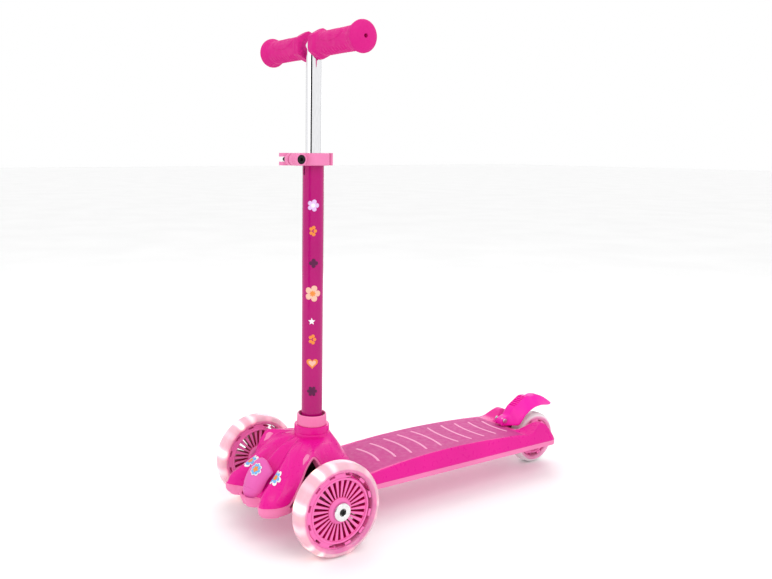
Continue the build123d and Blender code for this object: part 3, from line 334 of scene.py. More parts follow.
def spline(values, t):
    """Catmull-Rom through evenly spaced values, t from 0 to len - 1."""
    i = min(int(t), len(values) - 2)
    f = t - i
    p0 = values[max(i - 1, 0)]
    p1, p2 = values[i], values[i + 1]
    p3 = values[min(i + 2, len(values) - 1)]
    return tuple(
        0.5 * (2 * b + (c - a) * f + (2 * a - 5 * b + 4 * c - d) * f * f
               + (3 * b - a - 3 * c + d) * f ** 3)
        for a, b, c, d in zip(p0, p1, p2, p3)
    )


def smoothstep(low, high, value):
    t = min(max((value - low) / (high - low), 0.0), 1.0)
    return t * t * (3 - 2 * t)


def soft_min(a, b, blend):
    h = min(max(0.5 + 0.5 * (b - a) / blend, 0.0), 1.0)
    return b + (a - b) * h - blend * h * (1 - h)


def thicken(obj, thickness, offset=-1.0):
    mod = obj.modifiers.new("thickness", "SOLIDIFY")
    mod.thickness, mod.offset = thickness * MM, offset
    mod.use_even_offset = False
    return mod


# ---------------------------------------------------------------- hood
# Profiles of the hood from the neck to its rim, by direction from straight ahead: (reach
# from the column's axis, height).
HOOD = {
    0: [(22, 119), (34, 115), (48, 108.5), (60, 100), (72, 88), (84, 75), (94, 64), (100, 54)],
    13: [(22, 119), (33, 113.5), (46, 104), (57, 93), (68, 81), (79, 70), (88, 61), (92, 54)],
    24.6: [(22, 119), (35, 116), (49, 110), (62, 100), (78, 88), (95, 77), (109, 67), (115, 53.5)],
    33: [(22, 119), (36, 116.5), (51, 110.5), (65, 99.5), (80, 86), (94, 73), (104, 62), (106.5, 54)],
    40: [(22, 119), (37, 116.8), (52, 111), (66, 100), (78, 88), (87, 77), (92.5, 67), (94.5, 57)],
    46: [(22, 119), (36, 117), (50, 112.5), (62, 105), (71, 97), (77.5, 89.5), (81.5, 82), (83.5, 75.5)],
    53: [(22, 119), (34, 117.6), (46, 114.8), (56, 112), (64, 109), (70, 106.4), (73.8, 104), (75.3, 102)],
    60: [(22, 119), (32, 118.5), (42, 117.6), (51, 116.8), (58, 116), (64, 115.2), (67.5, 114),
            (69.2, 112.5)],
    72: [(22, 119), (31, 118.4), (40, 117.2), (48, 115), (54, 112), (58, 107.5), (61, 101), (62.8, 94)],
    84: [(22, 119.5), (31, 117.6), (40, 115), (48, 110), (54, 102), (58, 90), (60.2, 76), (61, 63)],
    95: [(22, 120), (31, 117), (40, 113.5), (48, 107), (54, 97), (58, 84), (60.3, 69), (60.8, 54)],
    115: [(22, 121.5), (30, 116), (38, 110.5), (46, 102.5), (54, 92), (60, 79.5), (64.3, 67), (66, 54)],
    135: [(22.5, 123), (29, 116), (36, 109), (43, 99.5), (50, 88), (57, 75), (63.5, 64), (68, 54)],
    160: [(22.8, 124.5), (28, 117), (34, 108.5), (40, 98.5), (47, 87), (54, 76), (61, 65), (67, 55)],
    180: [(23, 125), (28, 117), (33.5, 108), (39.5, 98), (46, 87.5), (53, 76.5), (60, 66.5), (66, 57)],
}


def hermite(keys, values, key):
    """Monotone-ish cubic through values at keys, flat at both ends."""
    i = 0
    while i < len(keys) - 2 and key > keys[i + 1]:
        i += 1
    span = keys[i + 1] - keys[i]

    def slope(j):
        if j in (0, len(keys) - 1):
            return 0.0
        left = (values[j] - values[j - 1]) / (keys[j] - keys[j - 1])
        right = (values[j + 1] - values[j]) / (keys[j + 1] - keys[j])
        if left * right <= 0:
            return 0.0
        return 2 * left * right / (left + right)

    t = (key - keys[i]) / span
    a, b = values[i], values[i + 1]
    return (
        (1 + 2 * t) * (1 - t) ** 2 * a + t * (1 - t) ** 2 * slope(i) * span
        + t * t * (3 - 2 * t) * b + t * t * (t - 1) * slope(i + 1) * span
    )


HOOD_KEYS = sorted(HOOD)


def hood_profile(direction):
    """The eight (reach, height) points of the hood's profile at a direction in degrees."""
    turn = abs((direction + 180) % 360 - 180)
    return [
        tuple(hermite(HOOD_KEYS, [HOOD[k][i][c] for k in HOOD_KEYS], turn) for c in (0, 1))
        for i in range(8)
    ]


def hood_point(direction, s, profile=None):
    """A point of the hood in the row frame, s from 0 at the neck to 7 at the rim."""
    reach, height = spline(profile or hood_profile(direction), s)
    turn = abs((direction + 180) % 360 - 180)
    # oval facet let into each outer toe, and the crease behind it
    oval = ((turn - 24) / 10.5) ** 2 + ((s - 4.6) / 2.2) ** 2
    sunk = 0.9 * (1 - smoothstep(0.86, 1.05, oval))
    crease = 41 - 1.1 * s
    step = 1.1 * smoothstep(crease - 1.2, crease + 1.2, turn) * (1 - smoothstep(60, 82, turn))
    step *= smoothstep(0.3, 2.0, s) * (1 - smoothstep(5.8, 7.0, s))
    height -= (sunk + step) * 0.8
    reach -= (sunk + step) * 0.6
    a = radians(direction)
    return (reach * sin(a), COLUMN_Y - reach * cos(a), height)


def build_hood():
    bm = bmesh.new()
    around = 360
    along = 56
    rows = []
    profiles = [hood_profile(360 * j / around) for j in range(around)]
    for i in range(along + 1):
        s = 7 * i / along
        rows.append([hood_point(360 * j / around, s, profiles[j]) for j in range(around)])
    grid(bm, rows, wrap=True)
    mesh = close_mesh(bm, "hood", 50)
    obj = put(mesh, "hood", "magenta_shell", "frame", ["upper_shell"])
    thicken(obj, 2.2)
    bm = bmesh.new()
    profile = soft(
        [(104, 20.5), (114, 23.2), (122.5, 23.6), (123.6, 22.9), (124.6, 23.6), (133, 23.4),
                (133, 17.6), (104, 17.4)],
        0.9, closed=True,
    )
    lathe(bm, (0, COLUMN_Y, 0), "Z", profile, 96, loop=True)
    put(close_mesh(bm, "neck"), "neck", "magenta_shell", "frame")
    return obj


def build_arch(side, name):
    """Pale lip round a wheel arch and the liner that runs in from it."""
    bm = bmesh.new()
    rows = []
    path = []
    for k in range(61):
        direction = 39.5 + (88 - 39.5) * k / 60
        reach, height = hood_profile(direction)[7]
        a = radians(direction)
        path.append((reach * sin(a), COLUMN_Y - reach * cos(a), height))
    path = path + [(path[-1][0], path[-1][1] + 3, 50)]
    for k, p in enumerate(path):
        before, after = path[max(k - 1, 0)], path[min(k + 1, len(path) - 1)]
        out = Vector((0, after[1] - before[1], after[2] - before[2])).normalized()
        down = Vector((0, out.z, -out.y))
        if down.z > 0:
            down = -down
        ring = []
        for across, depth in soft(
            [(0.8, 0.6), (0.8, 3.4), (-3, 3.6), (-15, 3.8), (-15, 1.6), (-3, 0.8)], 0.8, 3, True
        ):
            q = Vector(p) + down * depth
            ring.append((side * (p[0] + across), q.y, q.z))
        rows.append(ring)
    grid(bm, rows, wrap=True)
    put(close_mesh(bm, name, 40), name, "pink_shell", "frame", [name.replace("lip", "liner")])


PAD = []  # middle of the toe pad's face, its downward direction and its outward one


def build_toes():
    """Rounded pale foot under the toes, and the raised pad between them."""
    bm = bmesh.new()
    rows = []
    section = soft(
        [(0.6, 54.5), (1.0, 51), (0.4, 46.5), (-2, 43), (-6, 41.2), (-12, 40.8), (-12, 43),
                (-3.4, 46), (-2.2, 54.5)],
        0.8, 3, closed=True,
    )
    for k in range(165):
        direction = -41 + k / 2
        reach, height = hood_profile(direction)[7]
        lift = max(height - 54, 0) * 0.6
        a = radians(direction)
        rows.append([
            ((reach + out) * sin(a), COLUMN_Y - (reach + out) * cos(a), z + lift)
            for out, z in section
        ])
    verts = grid(bm, rows, wrap=True)
    bm.faces.new(verts[0])
    bm.faces.new(reversed(verts[-1]))
    put(close_mesh(bm, "toe_foot", 40), "toe_foot", "pink_shell", "frame")

    line = [(71, 99.5), (76, 97.5), (82, 93.5), (88, 88), (94, 80), (99, 70), (102, 60), (101.5, 50)]
    bm = bmesh.new()
    rows = []
    for i in range(71):
        t = i / 10
        ahead, z = spline(line, t)
        half = 20.0 * sqrt(1 - (1 - min(t + 0.02, 1.9) / 1.92) ** 2) - 5.0 * smoothstep(4.2, 7.0, t)
        before, after = spline(line, max(t - 0.1, 0)), spline(line, min(t + 0.1, 7))
        run, rise = after[0] - before[0], after[1] - before[1]
        length = hypot(run, rise)
        out_y, out_z = -rise / length, run / length
        crease = 0.9 * (1 - smoothstep(0.0, 1.4, abs(z - 66)))
        row = []
        for k in range(33):
            a = pi * (k / 32 - 0.5)
            deep = 15 * (1 - cos(a)) + crease * cos(a) + 5 * (1 - smoothstep(0, 0.7, t))
            row.append((half * sin(a), COLUMN_Y - ahead + deep * out_y, z - deep * out_z))
        rows.append(row)
    grid(bm, rows)
    middle = rows[30][16]
    aim = Vector((0, rows[31][16][1] - rows[29][16][1], rows[31][16][2] - rows[29][16][2])).normalized()
    out = Vector((0, aim.z, -aim.y)) if aim.z < 0 else Vector((0, -aim.z, aim.y))
    PAD.append((Vector(middle), aim, out))
    pad = put(close_mesh(bm, "toe_pad", 60), "toe_pad", "pink_toe", "frame", ["centre_toe"])
    thicken(pad, 2.0)


# ---------------------------------------------------------------- prints
def flower(petals, waist=0.55):
    """Outline of radius 1 with rounded petals."""
    count = 12 * petals
    return [
        (r * cos(a), r * sin(a))
        for a, r in (
            (2 * pi * k / count, waist + (1 - waist) * abs(cos(pi * k / 12)) ** 0.6) for k in range(count)
        )
    ]


def star(points=5, waist=0.45):
    return [
        ((1 if k % 2 == 0 else waist) * sin(pi * k / points),
                (1 if k % 2 == 0 else waist) * cos(pi * k / points))
        for k in range(2 * points)
    ]


def heart():
    out = []
    for k in range(40):
        a = 2 * pi * k / 40
        out.append((sin(a) ** 3, (13 * cos(a) - 5 * cos(2 * a) - 2 * cos(3 * a) - cos(4 * a)) / 17))
    return out


def shape(bm, outline, size, centre, surface, material):
    """Fan of small rings inside an outline, laid on a surface."""
    rings = 5
    rows = []
    for i in range(rings + 1):
        share = max(i / rings, 0.02)
        rows.append([surface(centre[0] + size * share * u, centre[1] + size * share * v) for u, v in outline])
    verts = grid(bm, rows, wrap=True, material=lambda i, j: material)
    cap = bm.faces.new(verts[0])
    cap.material_index = material


def tube_surface(facing, lift):
    def place(across, height):
        a = facing + across / 14.0
        r = 14.0 + lift
        return (r * cos(a), COLUMN_Y + r * sin(a), height)
    return place


def toe_surface(side, lift):
    def place(direction, s):
        here = Vector(hood_point(side * direction, s))
        turn = Vector(hood_point(side * (direction + 1), s)) - here
        down = Vector(hood_point(side * direction, s + 0.05)) - here
        out = turn.cross(down).normalized() * (-side)
        if out.z < 0:
            out = -out
        return here + out * lift
    return place


def build_prints():
    """Generic flowers, a heart and stars on the column and the outer toes."""
    hexagon = [(cos(pi * k / 3), sin(pi * k / 3)) for k in range(6)]
    mats = ["print_lilac", "print_white", "print_orange", "print_peach", "print_dark", "print_blue"]
    marks = [
        (flower(5), 8, 0, 427, 0), (flower(8), 3, 0, 427, 1), (flower(4), 6, 1, 352, 4),
        (flower(5), 11, 0, 312, 3), (flower(8), 4, 0, 312, 2), (star(), 5, -1, 275, 1),
        (heart(), 8, 0, 219, 2), (heart(), 5, 0, 219, 3), (flower(6), 7, 0, 181, 4),
                (flower(8), 2.5, 0, 181, 3),
    ]
    for height in (394, 251):
        marks += [
            (hexagon, 2.6, 2.9 * cos(2 * pi * k / 5), height + 4.6 * sin(2 * pi * k / 5), 2) for k in range(5)
        ]
    bm = bmesh.new()
    for facing in (radians(-31.4), radians(148.6)):
        for order, (outline, size, across, height, material) in enumerate(marks):
            surface = tube_surface(facing, 0.06 + 0.02 * (order % 3))
            shape(bm, outline, size, (across, height), surface, material)
    prints = put(close_mesh(bm, "column_prints", 60), "column_prints", mats, "frame")
    thicken(prints, 0.04)
    bm = bmesh.new()
    for side in (-1, 1):
        for outline, size, material, lift in ((flower(6), 1.0, 1, 0.3), (flower(6), 0.72, 5, 0.36),
                (flower(8), 0.36, 2, 0.42)):
            surface = toe_surface(side, lift)
            bent = [(u * 10, v) for u, v in outline]
            shape(bm, bent, 0.6 * size, (24.5, 4.3), surface, material)
    middle, aim, out = PAD[0]
    for outline, size, material, lift in ((flower(8, 0.75), 9, 1, 0.35),
            (flower(8, 0.75), 7.6, 5, 0.42), (flower(5), 4.4, 2, 0.5)):

        def on_pad(u, v, lift=lift):
            fall = 15 * (1 - sqrt(max(1 - (u / 20.0) ** 2, 0.0)))
            bend = 0.006 * v * v
            return middle + Vector((u, 0, 0)) + aim * v + out * (lift - fall - bend)

        shape(bm, outline, size, (4.5, 0), on_pad, material)
    toes = put(close_mesh(bm, "toe_prints", 60), "toe_prints", mats, "frame")
    thicken(toes, 0.04)


# ---------------------------------------------------------------- deck
def deck_top(y):
    """Height of the deck's middle line, y behind the front axle."""
    return 76 - (76 - 63.4) * ((y - 235) / 175) ** 2 if y < 235 else 76 - (76 - 68.4) * ((y - 235) / 150) ** 2


def deck_height(x, y):
    across = abs(x)
    # distance in from the rounded outline of the deck
    corner_x, corner_y = across - 46, y - 429
    if corner_x > 0 and corner_y > 0:
        inside = 14 - hypot(corner_x, corner_y)
    else:
        inside = min(60 - across, 443 - y)
    flank = 54 + 2.246 * max(inside, 0)
    side_line = spline([(0, 68.4), (1, 69.2), (2, 73.5), (3, 78), (4, 80), (5, 76), (6, 64), (7, 54)],
                       min(max((y - 385) / 58 * 7, 0), 7))[1]
    top = deck_top(y) - 0.35 * (across / 50) ** 2 if y < 385 else side_line
    trough = 62 + 0.5 * max(across - 16, 0) + 0.62 * max(across - 22, 0)
    if y > 372:
        share = smoothstep(372, 402, y)
        trough = trough * share + (top + 3) * (1 - share)
        top = soft_min(top, trough, 2.2)
    return soft_min(top, flank, 2.6)


def build_deck():
    bm = bmesh.new()
    xs = [-60, -59.4, -58.6, -57.6, -56.4, -55, -53.6, -52.4, -51.4, -50.4, -49.4, -48.2, -46.8,
            -45, -42.5, -40]
    xs += [-37, -34, -31, -28, -25, -22.5, -20, -18, -16, -12, -8, -4, 0]
    xs = xs + [-x for x in reversed(xs[:-1])]
    ys = [48 + 3 * k for k in range(118)] + [402 + 1.25 * k for k in range(33)]
    ys = sorted(set(ys + [399.5, 400.0, 443.0]))
    ys = [y for y in ys if y <= 443]
    rows = []
    for y in ys:
        row = []
        for x in xs:
            half = 60.0
            if y > 429:
                half = 46 + sqrt(max(14 ** 2 - (y - 429) ** 2, 0.01))
            px = x if abs(x) <= 16 else (16 + (abs(x) - 16) / 44 * (half - 16)) * (1 if x > 0 else -1)
            row.append((px, y + FRONT_Y, max(deck_height(px, y), 54)))
        rows.append(row)
    grid(
        bm, rows,
        skip=lambda i, j: ys[i] >= 400 and abs(xs[j] + xs[j + 1]) / 2 < 16,
        material=lambda i, j: 1 if abs(xs[j] + xs[j + 1]) / 2 < 48.8 and ys[i] < 378 else 0,
    )
    obj = put(close_mesh(bm, "deck", 50), "deck", ["magenta_shell", "deck_top"], "frame")
    thicken(obj, 2.4)
    return obj


def build_strips():
    bm = bmesh.new()
    for side in (-1, 1):
        for step in range(5):
            y = 243.5 + side * (16.5 + step * 26.4)
            half = 36 - 8 * (step / 4) ** 2
            bow = -side * 5
            rows = []
            count = 40
            for k in range(count + 1):
                u = -1 + 2 * k / count
                x = half * u
                yy = y + bow * (1 - u * u)
                slope = -2 * bow * u / half
                nx, ny = -slope / hypot(1, slope), 1 / hypot(1, slope)
                end = sqrt(max(1 - max(abs(u) - 0.94, 0) ** 2 / 0.0036, 0.0))
                row = []
                for m in range(9):
                    a = pi * m / 8
                    w = 2.1 * cos(a) * end
                    lift = 1.1 * sin(a) * (0.35 + 0.65 * end)
                    px, py = x + nx * w, yy + ny * w
                    row.append((px, py + FRONT_Y, deck_top(py) - 0.35 * (px / 50) ** 2 - 0.5 + lift))
                rows.append(row)
            grid(bm, rows)
    put(close_mesh(bm, "strips", 60), "strips", "pink_strip", "frame", ["deck_strips"])


# ---------------------------------------------------------------- wheels
def wheel_matrix(centre):
    basis = Matrix(((0, 0, 1), (1, 0, 0), (0, 1, 0))).to_4x4()
    return Matrix.Translation(centre) @ basis


def wedge(inner, outer, angle, share):
    """Rounded wedge slot between two radii."""
    spread = share / 2
    points = []
    for r, a in ((inner, -spread), (outer, -spread), (outer, spread), (inner, spread)):
        points.append((r * cos(angle + a), r * sin(angle + a)))
    return soft(points, 0.7, 3, closed=True)


def window(radius, angle, length, width):
    points = []
    for k in range(7):
        a = angle + length / radius * (k / 6 - 0.5)
        points.append(((radius + width / 2) * cos(a), (radius + width / 2) * sin(a)))
    for k in range(7):
        a = angle + length / radius * (0.5 - k / 6)
        points.append(((radius - width / 2) * cos(a), (radius - width / 2) * sin(a)))
    return soft(points, 0.8, 3, closed=True)


def build_core(name, body, node, centre, web_r, rim_r, hub, slots, windows, notches, half):
    bm = bmesh.new()
    place = wheel_matrix(centre)
    share = 2 * pi / slots * 0.47
    loops = [circle(web_r + 0.5, 120)]
    loops += [wedge(hub + 2.6, web_r - 2.4, 2 * pi * k / slots, share) for k in range(slots)]
    plate(bm, loops, half - 2.2, 0.5, place)
    lip = soft([(half, web_r - 1.6), (half, web_r + 1.0), (-half, web_r + 1.0),
            (-half, web_r - 1.6)], 0.8, 4, True)
    lathe(bm, centre, "X", lip, 120, loop=True)
    outline = []
    for k in range(240):
        a = 2 * pi * k / 240
        phase = (a / (2 * pi) * notches) % 1
        low = smoothstep(0.30, 0.33, phase) * (1 - smoothstep(0.67, 0.70, phase))
        r = rim_r - 2.6 * low
        outline.append((r * cos(a), r * sin(a)))
    middle = (web_r + rim_r) / 2 + 0.1
    rim = [outline, circle(web_r, 120)]
    rim += [window(middle, 2 * pi * (k + 0.5) / windows, 8.2 if slots > 20 else 6.5,
            2.7) for k in range(windows)]
    plate(bm, rim, half - 1.0, 0.5, place)
    hub_profile = soft(
        [(half - 2.4, hub + 3.2), (half + 0.6, hub + 0.6), (half + 1.6, hub - 1.2), (half + 1.5, 5),
         (-half - 1.5, 5), (-half - 1.6, hub - 1.2), (-half - 0.6, hub + 0.6), (-half + 2.4, hub + 3.2)],
        0.8, 4, closed=True,
    )
    lathe(bm, centre, "X", hub_profile, 80, loop=True)
    bm.normal_update()
    # painted shade: the side walls of the slots between the spokes take the second, darker material instead
    # of being shaded by light
    for face in bm.faces:
        middle = face.calc_center_median() - Vector(centre)
        if abs(face.normal.x) < 0.6 and hub + 2.3 < hypot(middle.y, middle.z) < web_r - 1.9:
            face.material_index = 1
    put(close_mesh(bm, name, 30), name, ["pink_core", "core_slot_painted_shade"], body, [node])


def build_tyre(name, body, node, centre, outer, inner, mat, glowing):
    bm = bmesh.new()
    half = 12.0
    profile = soft(
        [(half - 0.2, inner + 3.2), (half - 0.1, outer - 6.5), (half - 2.2, outer - 2.0),
                (half - 6.5, outer - 0.15),
         (0, outer), (-half + 6.5, outer - 0.15), (-half + 2.2, outer - 2.0), (-half + 0.1, outer - 6.5),
         (-half + 0.2, inner + 3.2), (-half + 2.6, inner + 0.2), (half - 2.6, inner + 0.2)],
        2.4, 4, closed=True,
    )
    rings = []
    for here, after in zip(profile, profile[1:] + profile[:1]):
        rings.append(here)
        cuts = int((Vector(after) - Vector(here)).length / 1.0)
        rings += [tuple(Vector(here).lerp(Vector(after), k / (cuts + 1))) for k in range(1, cuts + 1)]
    lathe(bm, centre, "X", rings, 144, loop=True)
    mesh = close_mesh(bm, name, 40)
    layer = mesh.attributes.new("glow", "FLOAT", "POINT")
    rim = mesh.attributes.new("rim", "FLOAT", "POINT")
    for i, vert in enumerate(mesh.vertices):
        p = vert.co / MM - Vector(centre)
        a = atan2(p.z, p.y)
        r = hypot(p.y, p.z)
        blobs = 0.5 + 0.5 * cos(a * 15 + 1.2 * sin(3 * a))
        wide = 0.5 + 0.5 * cos(a * 6 + 0.6)
        value = (0.25 + 0.75 * wide) * blobs ** 1.5 * smoothstep(inner, outer - 3, r)
        front = 0.35 + 0.65 * smoothstep(-0.5, 0.9, -cos(a + 0.25))
        layer.data[i].value = value * front if glowing else 0.0
        rim.data[i].value = 1 - smoothstep(inner + 4.2, inner + 6.2, r)
    put(mesh, name, mat, body, [node])


def build_wheels():
    for side, label in ((1, "left"), (-1, "right")):
        centre = (side * TRACK, FRONT_Y, 60)
        body = f"front_wheel_{label}"
        build_core(f"core_{label}", body, f"front_wheel_core_{label}", centre, 40.5, 50, 14, 28, 12, 6, 9.5)
        build_tyre(f"tyre_{label}", body, f"front_tyre_{label}", centre, 60, 47.5, "clear_tyre", True)
        # steel cap with a recessed screw
        bm = bmesh.new()
        start = side * 11.5
        profile = [(0, 3.5), (0, 11.2), (0.4, 11.75), (2.4, 11.75), (3.5, 10.9), (3.6, 5.2),
                (3.1, 4.6), (2.1, 4.2), (2.1, 1.5), (0.8, 1.4), (0.8, 0.01)]
        profile = [(start + side * a, r) for a, r in soft(profile, 0.45, 3)]
        recess = [abs(a - start) < 2.05 and r < 2.2 for a, r in profile]
        lathe(bm, centre, "X", profile, 64, material=lambda i, j: int(recess[i + 1]))
        put(close_mesh(bm, "cap", 30), f"cap_{label}", ["cap_steel", "black_steel"],
                f"knuckle_{label}", [f"axle_cap_{label}"])
    rear = (0, REAR_Y, 40)
    build_core("core_rear", "rear_wheel", "rear_wheel_core", rear, 24, 32, 14, 18, 8, 4, 9.5)
    build_tyre("tyre_rear", "rear_wheel", "rear_tyre", rear, 40, 30, "white_tyre", False)


# ---------------------------------------------------------------- grips
def grip_radius(a, theta):
    """Radius of a grip, a along the bar from the middle and theta round it from the top."""
    base = hermite(
        [12, 12.8, 14, 21, 24, 27, 60, 92, 96, 97.2, 99.4, 100.4, 102.4, 103.4, 105.4, 106.6, 108.6,
                111, 113, 114],
        [16.4, 17.6, 18.0, 18.0, 16.2, 15.2, 14.9, 15.2, 15.8, 16.6, 16.7, 17.6, 17.7, 18.6, 18.8,
                19.5, 19.3, 16.5, 11, 6],
        a,
    )
    facet = ((theta % (pi / 3)) - pi / 6)
    hexed = 18.9 * cos(pi / 6) / cos(facet) + 0.6
    share = 1 - smoothstep(20, 27, a)
    if a < 27:
        base = base * (1 - share) + min(hexed, base + 1.2) * share
    around = (theta - 1.0 + pi) % (2 * pi) - pi
    oval = ((a - 58) / 26) ** 2 + (around / 0.62) ** 2
    base += 0.55 * (1 - smoothstep(0.9, 1.0, oval)) - 0.35 * smoothstep(0.82, 0.92,
            oval) * (1 - smoothstep(1.1, 1.2, oval))
    under = smoothstep(1.0, 1.35, abs((theta - 1.0 + pi) % (2 * pi) - pi) - 0.05)
    waves = under * smoothstep(28, 34, a) * (1 - smoothstep(88, 94, a))
    base += 0.55 * waves * sin(2 * pi * (a + 2.2 * sin(2 * theta)) / 6.2)
    return base


def build_grip(side, name):
    bm = bmesh.new()
    stations = [12 + 0.4 * k for k in range(5)] + [14 + 1.0 * k for k in range(82)]
    stations += [96 + 0.3 * k for k in range(48)] + [110.4 + 0.3 * k for k in range(13)]
    stations = sorted({round(a, 2) for a in stations if a <= 114})
    count = 108
    rows = [[(side * 12.0, COLUMN_Y - 11 * sin(2 * pi * k / count),
            BAR_Z + 11 * cos(2 * pi * k / count)) for k in range(count)]]
    for a in stations:
        row = []
        for k in range(count):
            theta = 2 * pi * k / count
            r = grip_radius(a, theta)
            row.append((side * a, COLUMN_Y - r * sin(theta), BAR_Z + r * cos(theta)))
        rows.append(row)
    for a, r in ((114.0, 4.5), (114.0, 3.0), (113.6, 2.5), (107.5, 2.4), (107.5, 0.01)):
        rows.append([(side * a, COLUMN_Y - r * sin(2 * pi * k / count),
                BAR_Z + r * cos(2 * pi * k / count)) for k in range(count)])
    grid(bm, rows, wrap=True)
    put(close_mesh(bm, name, 38), name + "_skin", "magenta_rubber", "handlebar", [name])


# ---------------------------------------------------------------- fender
# Side view of the fender from its hinge to its beak: roof (behind, height), lower edge
# (behind, height), half-width of the roof and of the lower edge.
FENDER = [
    (373.5, 73.5, 373.6, 71.0, 5.4, 6.6),
    (375, 79.8, 378, 70.8, 5.6, 7.0),
    (381.5, 82.8, 385, 70.6, 6.0, 9.5),
    (389, 85.6, 392, 70.8, 6.6, 14.5),
    (395.5, 93.6, 398, 71.4, 7.2, 18.8),
    (399.8, 97.6, 403, 74.4, 7.5, 19.4),
    (407, 101.8, 408, 79.8, 7.6, 19.4),
    (415, 106.4, 414, 85.2, 7.6, 19.2),
    (422, 110.1, 421, 89.6, 7.6, 18.9),
    (429, 110.4, 428, 92.4, 7.5, 18.4),
    (436.5, 108.8, 435, 94.2, 7.4, 17.6),
    (445, 110, 446, 94.8, 7.4, 16.2),
    (459, 106.8, 458, 93.2, 7, 13),
    (474, 98.6, 470, 90.3, 6, 9),
    (484.5, 91.6, 482.5, 88.2, 4, 5),
]


def build_fender():
    bm = bmesh.new()
    rows = []
    last = len(FENDER) - 1
    for i in range(225):
        s = last * i / 224
        ry, rz, ly, lz, top, low = spline(FENDER, s)
        section = [
            (-low, 0.0), (-low - 0.2, 0.12), (-(low + top) / 2 - 0.8, 0.5), (-top - 0.7, 0.9),
                    (-top + 0.9, 0.985),
            (-top * 0.45, 1.0), (0, 1.004),
        ]
        section += [(-x, f) for x, f in reversed(section[:-1])]
        row = []
        for m in range(61):
            x, f = spline(section, m / 60 * 12)
            drop = 0.0
            if 5.0 < s < 8.2 and abs(x) < top + 0.5:
                tooth = (s - 5.0) / 3.2 * 7
                drop = 1.9 * smoothstep(0.30, 0.42, tooth % 1) * (1 - smoothstep(0.84, 0.97, tooth % 1))
                drop *= 1 - smoothstep(top - 1.6, top - 0.6, abs(x))
            y = ly + (ry - ly) * f
            z = lz + (rz - lz) * f
            row.append((x, y + FRONT_Y + drop * 0.5, z - drop * 0.8))
        rows.append(row)
    grid(bm, rows)
    obj = put(close_mesh(bm, "fender", 40), "fender", "fender_magenta", "rear_brake", ["brake_fender"])
    thicken(obj, 1.8)


# ---------------------------------------------------------------- clamp and collar
def build_clamp():
    bm = bmesh.new()
    z = 486.0
    outline = [(1.5, -14.0), (1.5, -30.0), (9.5, -30.0), (9.5, -19.5)]
    outline += [(21 * cos(radians(a)), 21 * sin(radians(a))) for a in range(-58, 240, 4)]
    outline += [(-9.5, -19.5), (-9.5, -30.0), (-1.5, -30.0), (-1.5, -14.0)]
    outline += [(14.05 * cos(radians(a)), 14.05 * sin(radians(a))) for a in range(263, -84, -4)]
    at_column = Matrix.Translation((0, COLUMN_Y, z))
    plate(bm, [outline], 8.0, 1.6, at_column)
    # pad that wraps the near side, with a rounded end
    rows = []
    for k in range(61):
        t = k / 60
        a = radians(-62 + 100 * t)
        squeeze = sqrt(max(1 - max(t - 0.88, 0) ** 2 / 0.0144, 0.0))
        row = []
        for r, h in soft([(20.0, -7.6), (23.4, -7.6), (23.4, 7.6), (20.0, 7.6)], 1.8, 4, True):
            row.append(((20 + (r - 20) * (0.3 + 0.7 * squeeze)) * cos(a),
                    COLUMN_Y + (20 + (r - 20) * (0.3 + 0.7 * squeeze)) * sin(a), z + h * squeeze))
        rows.append(row)
    grid(bm, rows, wrap=True)
    boss = soft([(1.5, 3), (1.5, 8), (9.6, 8), (9.9, 7.4), (10.6, 7.4), (10.9, 7.9), (14.2, 7.9),
            (14.6, 7.3), (15.3, 7.3),
                 (15.6, 7.8), (20.5, 7.8), (20.5, 6.0), (15.6, 5.8), (15.6, 3)], 0.5, 3, True)
    lathe(bm, (0, COLUMN_Y - 30, z), "X", boss, 64, loop=True)
    far = soft([(-1.5, 3), (-1.5, 8), (-9.5, 8), (-9.5, 3)], 0.8, 3, True)
    lathe(bm, (0, COLUMN_Y - 30, z), "X", far, 64, loop=True)
    put(close_mesh(bm, "clamp", 32), "clamp", "pink_clamp", "frame", ["clamp_ring"])

    bm = bmesh.new()
    collar = soft([(133, 17.6), (133, 20), (146.6, 19.7), (148, 18.9), (147.4, 17.5)], 0.9, 4, True)
    lathe(bm, (0, COLUMN_Y, 0), "Z", collar, 96, loop=True)
    put(close_mesh(bm, "collar", 40), "collar", "pink_collar", "frame", ["column_collar"])


hood = build_hood()
deck = build_deck()
for side, label in ((1, "left"), (-1, "right")):
    build_arch(side, f"arch_lip_{label}")
    build_grip(side, f"grip_{label}")
build_toes()
build_prints()
build_strips()
build_wheels()
build_fender()
build_clamp()

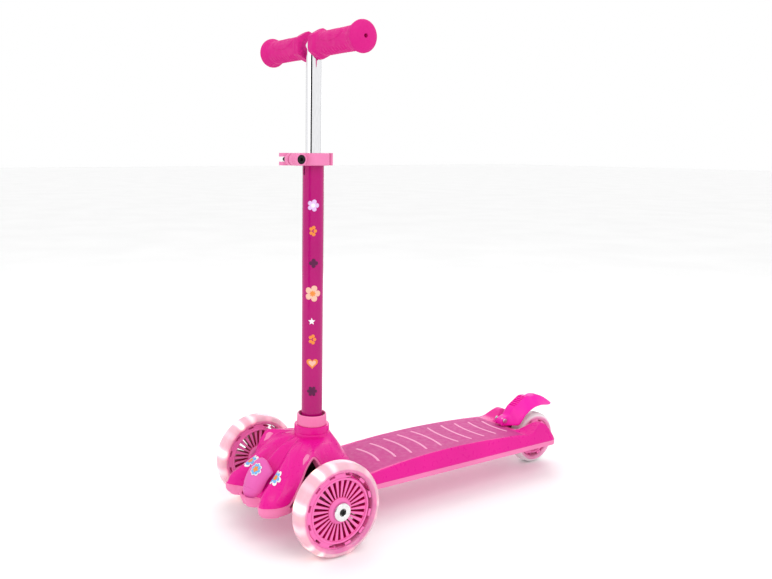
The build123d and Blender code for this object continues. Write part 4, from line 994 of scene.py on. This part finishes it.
# ---------------------------------------------------------------- stage
def build_stage():
    size = 40.0
    bm = bmesh.new()
    steps = 24
    rows = []
    for i in range(steps + 1):
        row = []
        for j in range(steps + 1):
            x = (i / steps - 0.5) * size
            y = (j / steps - 0.5) * size
            row.append(bm.verts.new((x, y, 0)))
        rows.append(row)
    for i in range(steps):
        for j in range(steps):
            bm.faces.new((rows[i][j], rows[i + 1][j], rows[i + 1][j + 1], rows[i][j + 1]))
    mesh = bpy.data.meshes.new("floor")
    bm.to_mesh(mesh)
    bm.free()
    floor = bpy.data.objects.new("floor", mesh)
    bpy.context.scene.collection.objects.link(floor)
    mat, tree, shader = new_material("floor", (0.95, 0.95, 0.95), 0.6)
    tint(tree, shader, ramp(tree, noise(tree, 3), 0, 1), (0.94, 0.94, 0.94), (0.97, 0.97, 0.97))
    mesh.materials.append(mat)

    world = bpy.data.worlds.new("studio")
    bpy.context.scene.world = world
    world.use_nodes = True
    world.node_tree.nodes["Background"].inputs["Color"].default_value = (1, 1, 1, 1)
    world.node_tree.nodes["Background"].inputs["Strength"].default_value = 1.0

    def area(name, place, aim, size_x, size_y, power):
        lamp = bpy.data.lights.new(name, "AREA")
        lamp.shape = "RECTANGLE"
        lamp.size, lamp.size_y = size_x, size_y
        lamp.energy = power
        obj = bpy.data.objects.new(name, lamp)
        obj.location = place
        obj.rotation_mode = "QUATERNION"
        obj.rotation_quaternion = (Vector(aim) - Vector(place)).to_track_quat("-Z", "Y")
        bpy.context.scene.collection.objects.link(obj)

    area("key", (1.5, -0.3, 1.7), (0, -0.05, 0.2), 1.2, 1.2, 10)
    area("fill", (-0.3, -2.0, 1.0), (0, 0, 0.25), 1.6, 1.2, 4.5)
    area("top", (-0.6, 0.3, 2.2), (0, 0, 0.1), 1.4, 1.4, 6)
    area("back", (-1.6, 1.2, 0.9), (0, 0, 0.3), 1.0, 1.2, 6)

    # black boards beside the camera and behind the column, seen only in reflections
    black, tree, shader = new_material("board", (0.012, 0.012, 0.012), 0.8)
    tint(tree, shader, ramp(tree, noise(tree, 4), 0, 1), (0.01, 0.01, 0.01), (0.016, 0.016, 0.016))
    for x, y, wide in ((0.51, -1.51, 0.6), (-1.75, 0.25, 0.5), (-0.9, 1.6, 0.5)):
        toward = Vector((-x, -y, 0)).normalized()
        across = Vector((-toward.y, toward.x, 0)) * (wide / 2)
        foot = Vector((x, y, 0.02))
        board = bpy.data.meshes.new("board")
        corners = [foot - across, foot + across, foot + across + Vector((0, 0, 1.2)),
                foot - across + Vector((0, 0, 1.2))]
        board.from_pydata([tuple(c) for c in corners], [], [(0, 1, 2, 3)])
        board.materials.append(black)
        obj = bpy.data.objects.new("board", board)
        bpy.context.scene.collection.objects.link(obj)
        obj.visible_camera = obj.visible_shadow = obj.visible_diffuse = False

    azimuth, elevation, roll = radians(58.58), radians(7.06), radians(0.297)
    back = Vector((sin(azimuth) * cos(elevation), -cos(azimuth) * cos(elevation), sin(elevation)))
    right = Vector((cos(azimuth), sin(azimuth), 0))
    up = back.cross(right)
    turned_right = cos(roll) * right + sin(roll) * up
    turned_up = -sin(roll) * right + cos(roll) * up
    camera = bpy.data.cameras.new("camera")
    camera.lens, camera.sensor_width = 38.88, 36
    camera.shift_x, camera.shift_y = 0.1036, -0.0492
    obj = bpy.data.objects.new("camera", camera)
    basis = Matrix((turned_right, turned_up, back)).transposed().to_4x4()
    obj.matrix_world = Matrix.Translation((0.92185, -0.74907, 0.50006)) @ basis
    bpy.context.scene.collection.objects.link(obj)
    bpy.context.scene.camera = obj
    view = bpy.context.scene.view_settings
    view.view_transform = "Standard"
    view.look = "None"


build_stage()
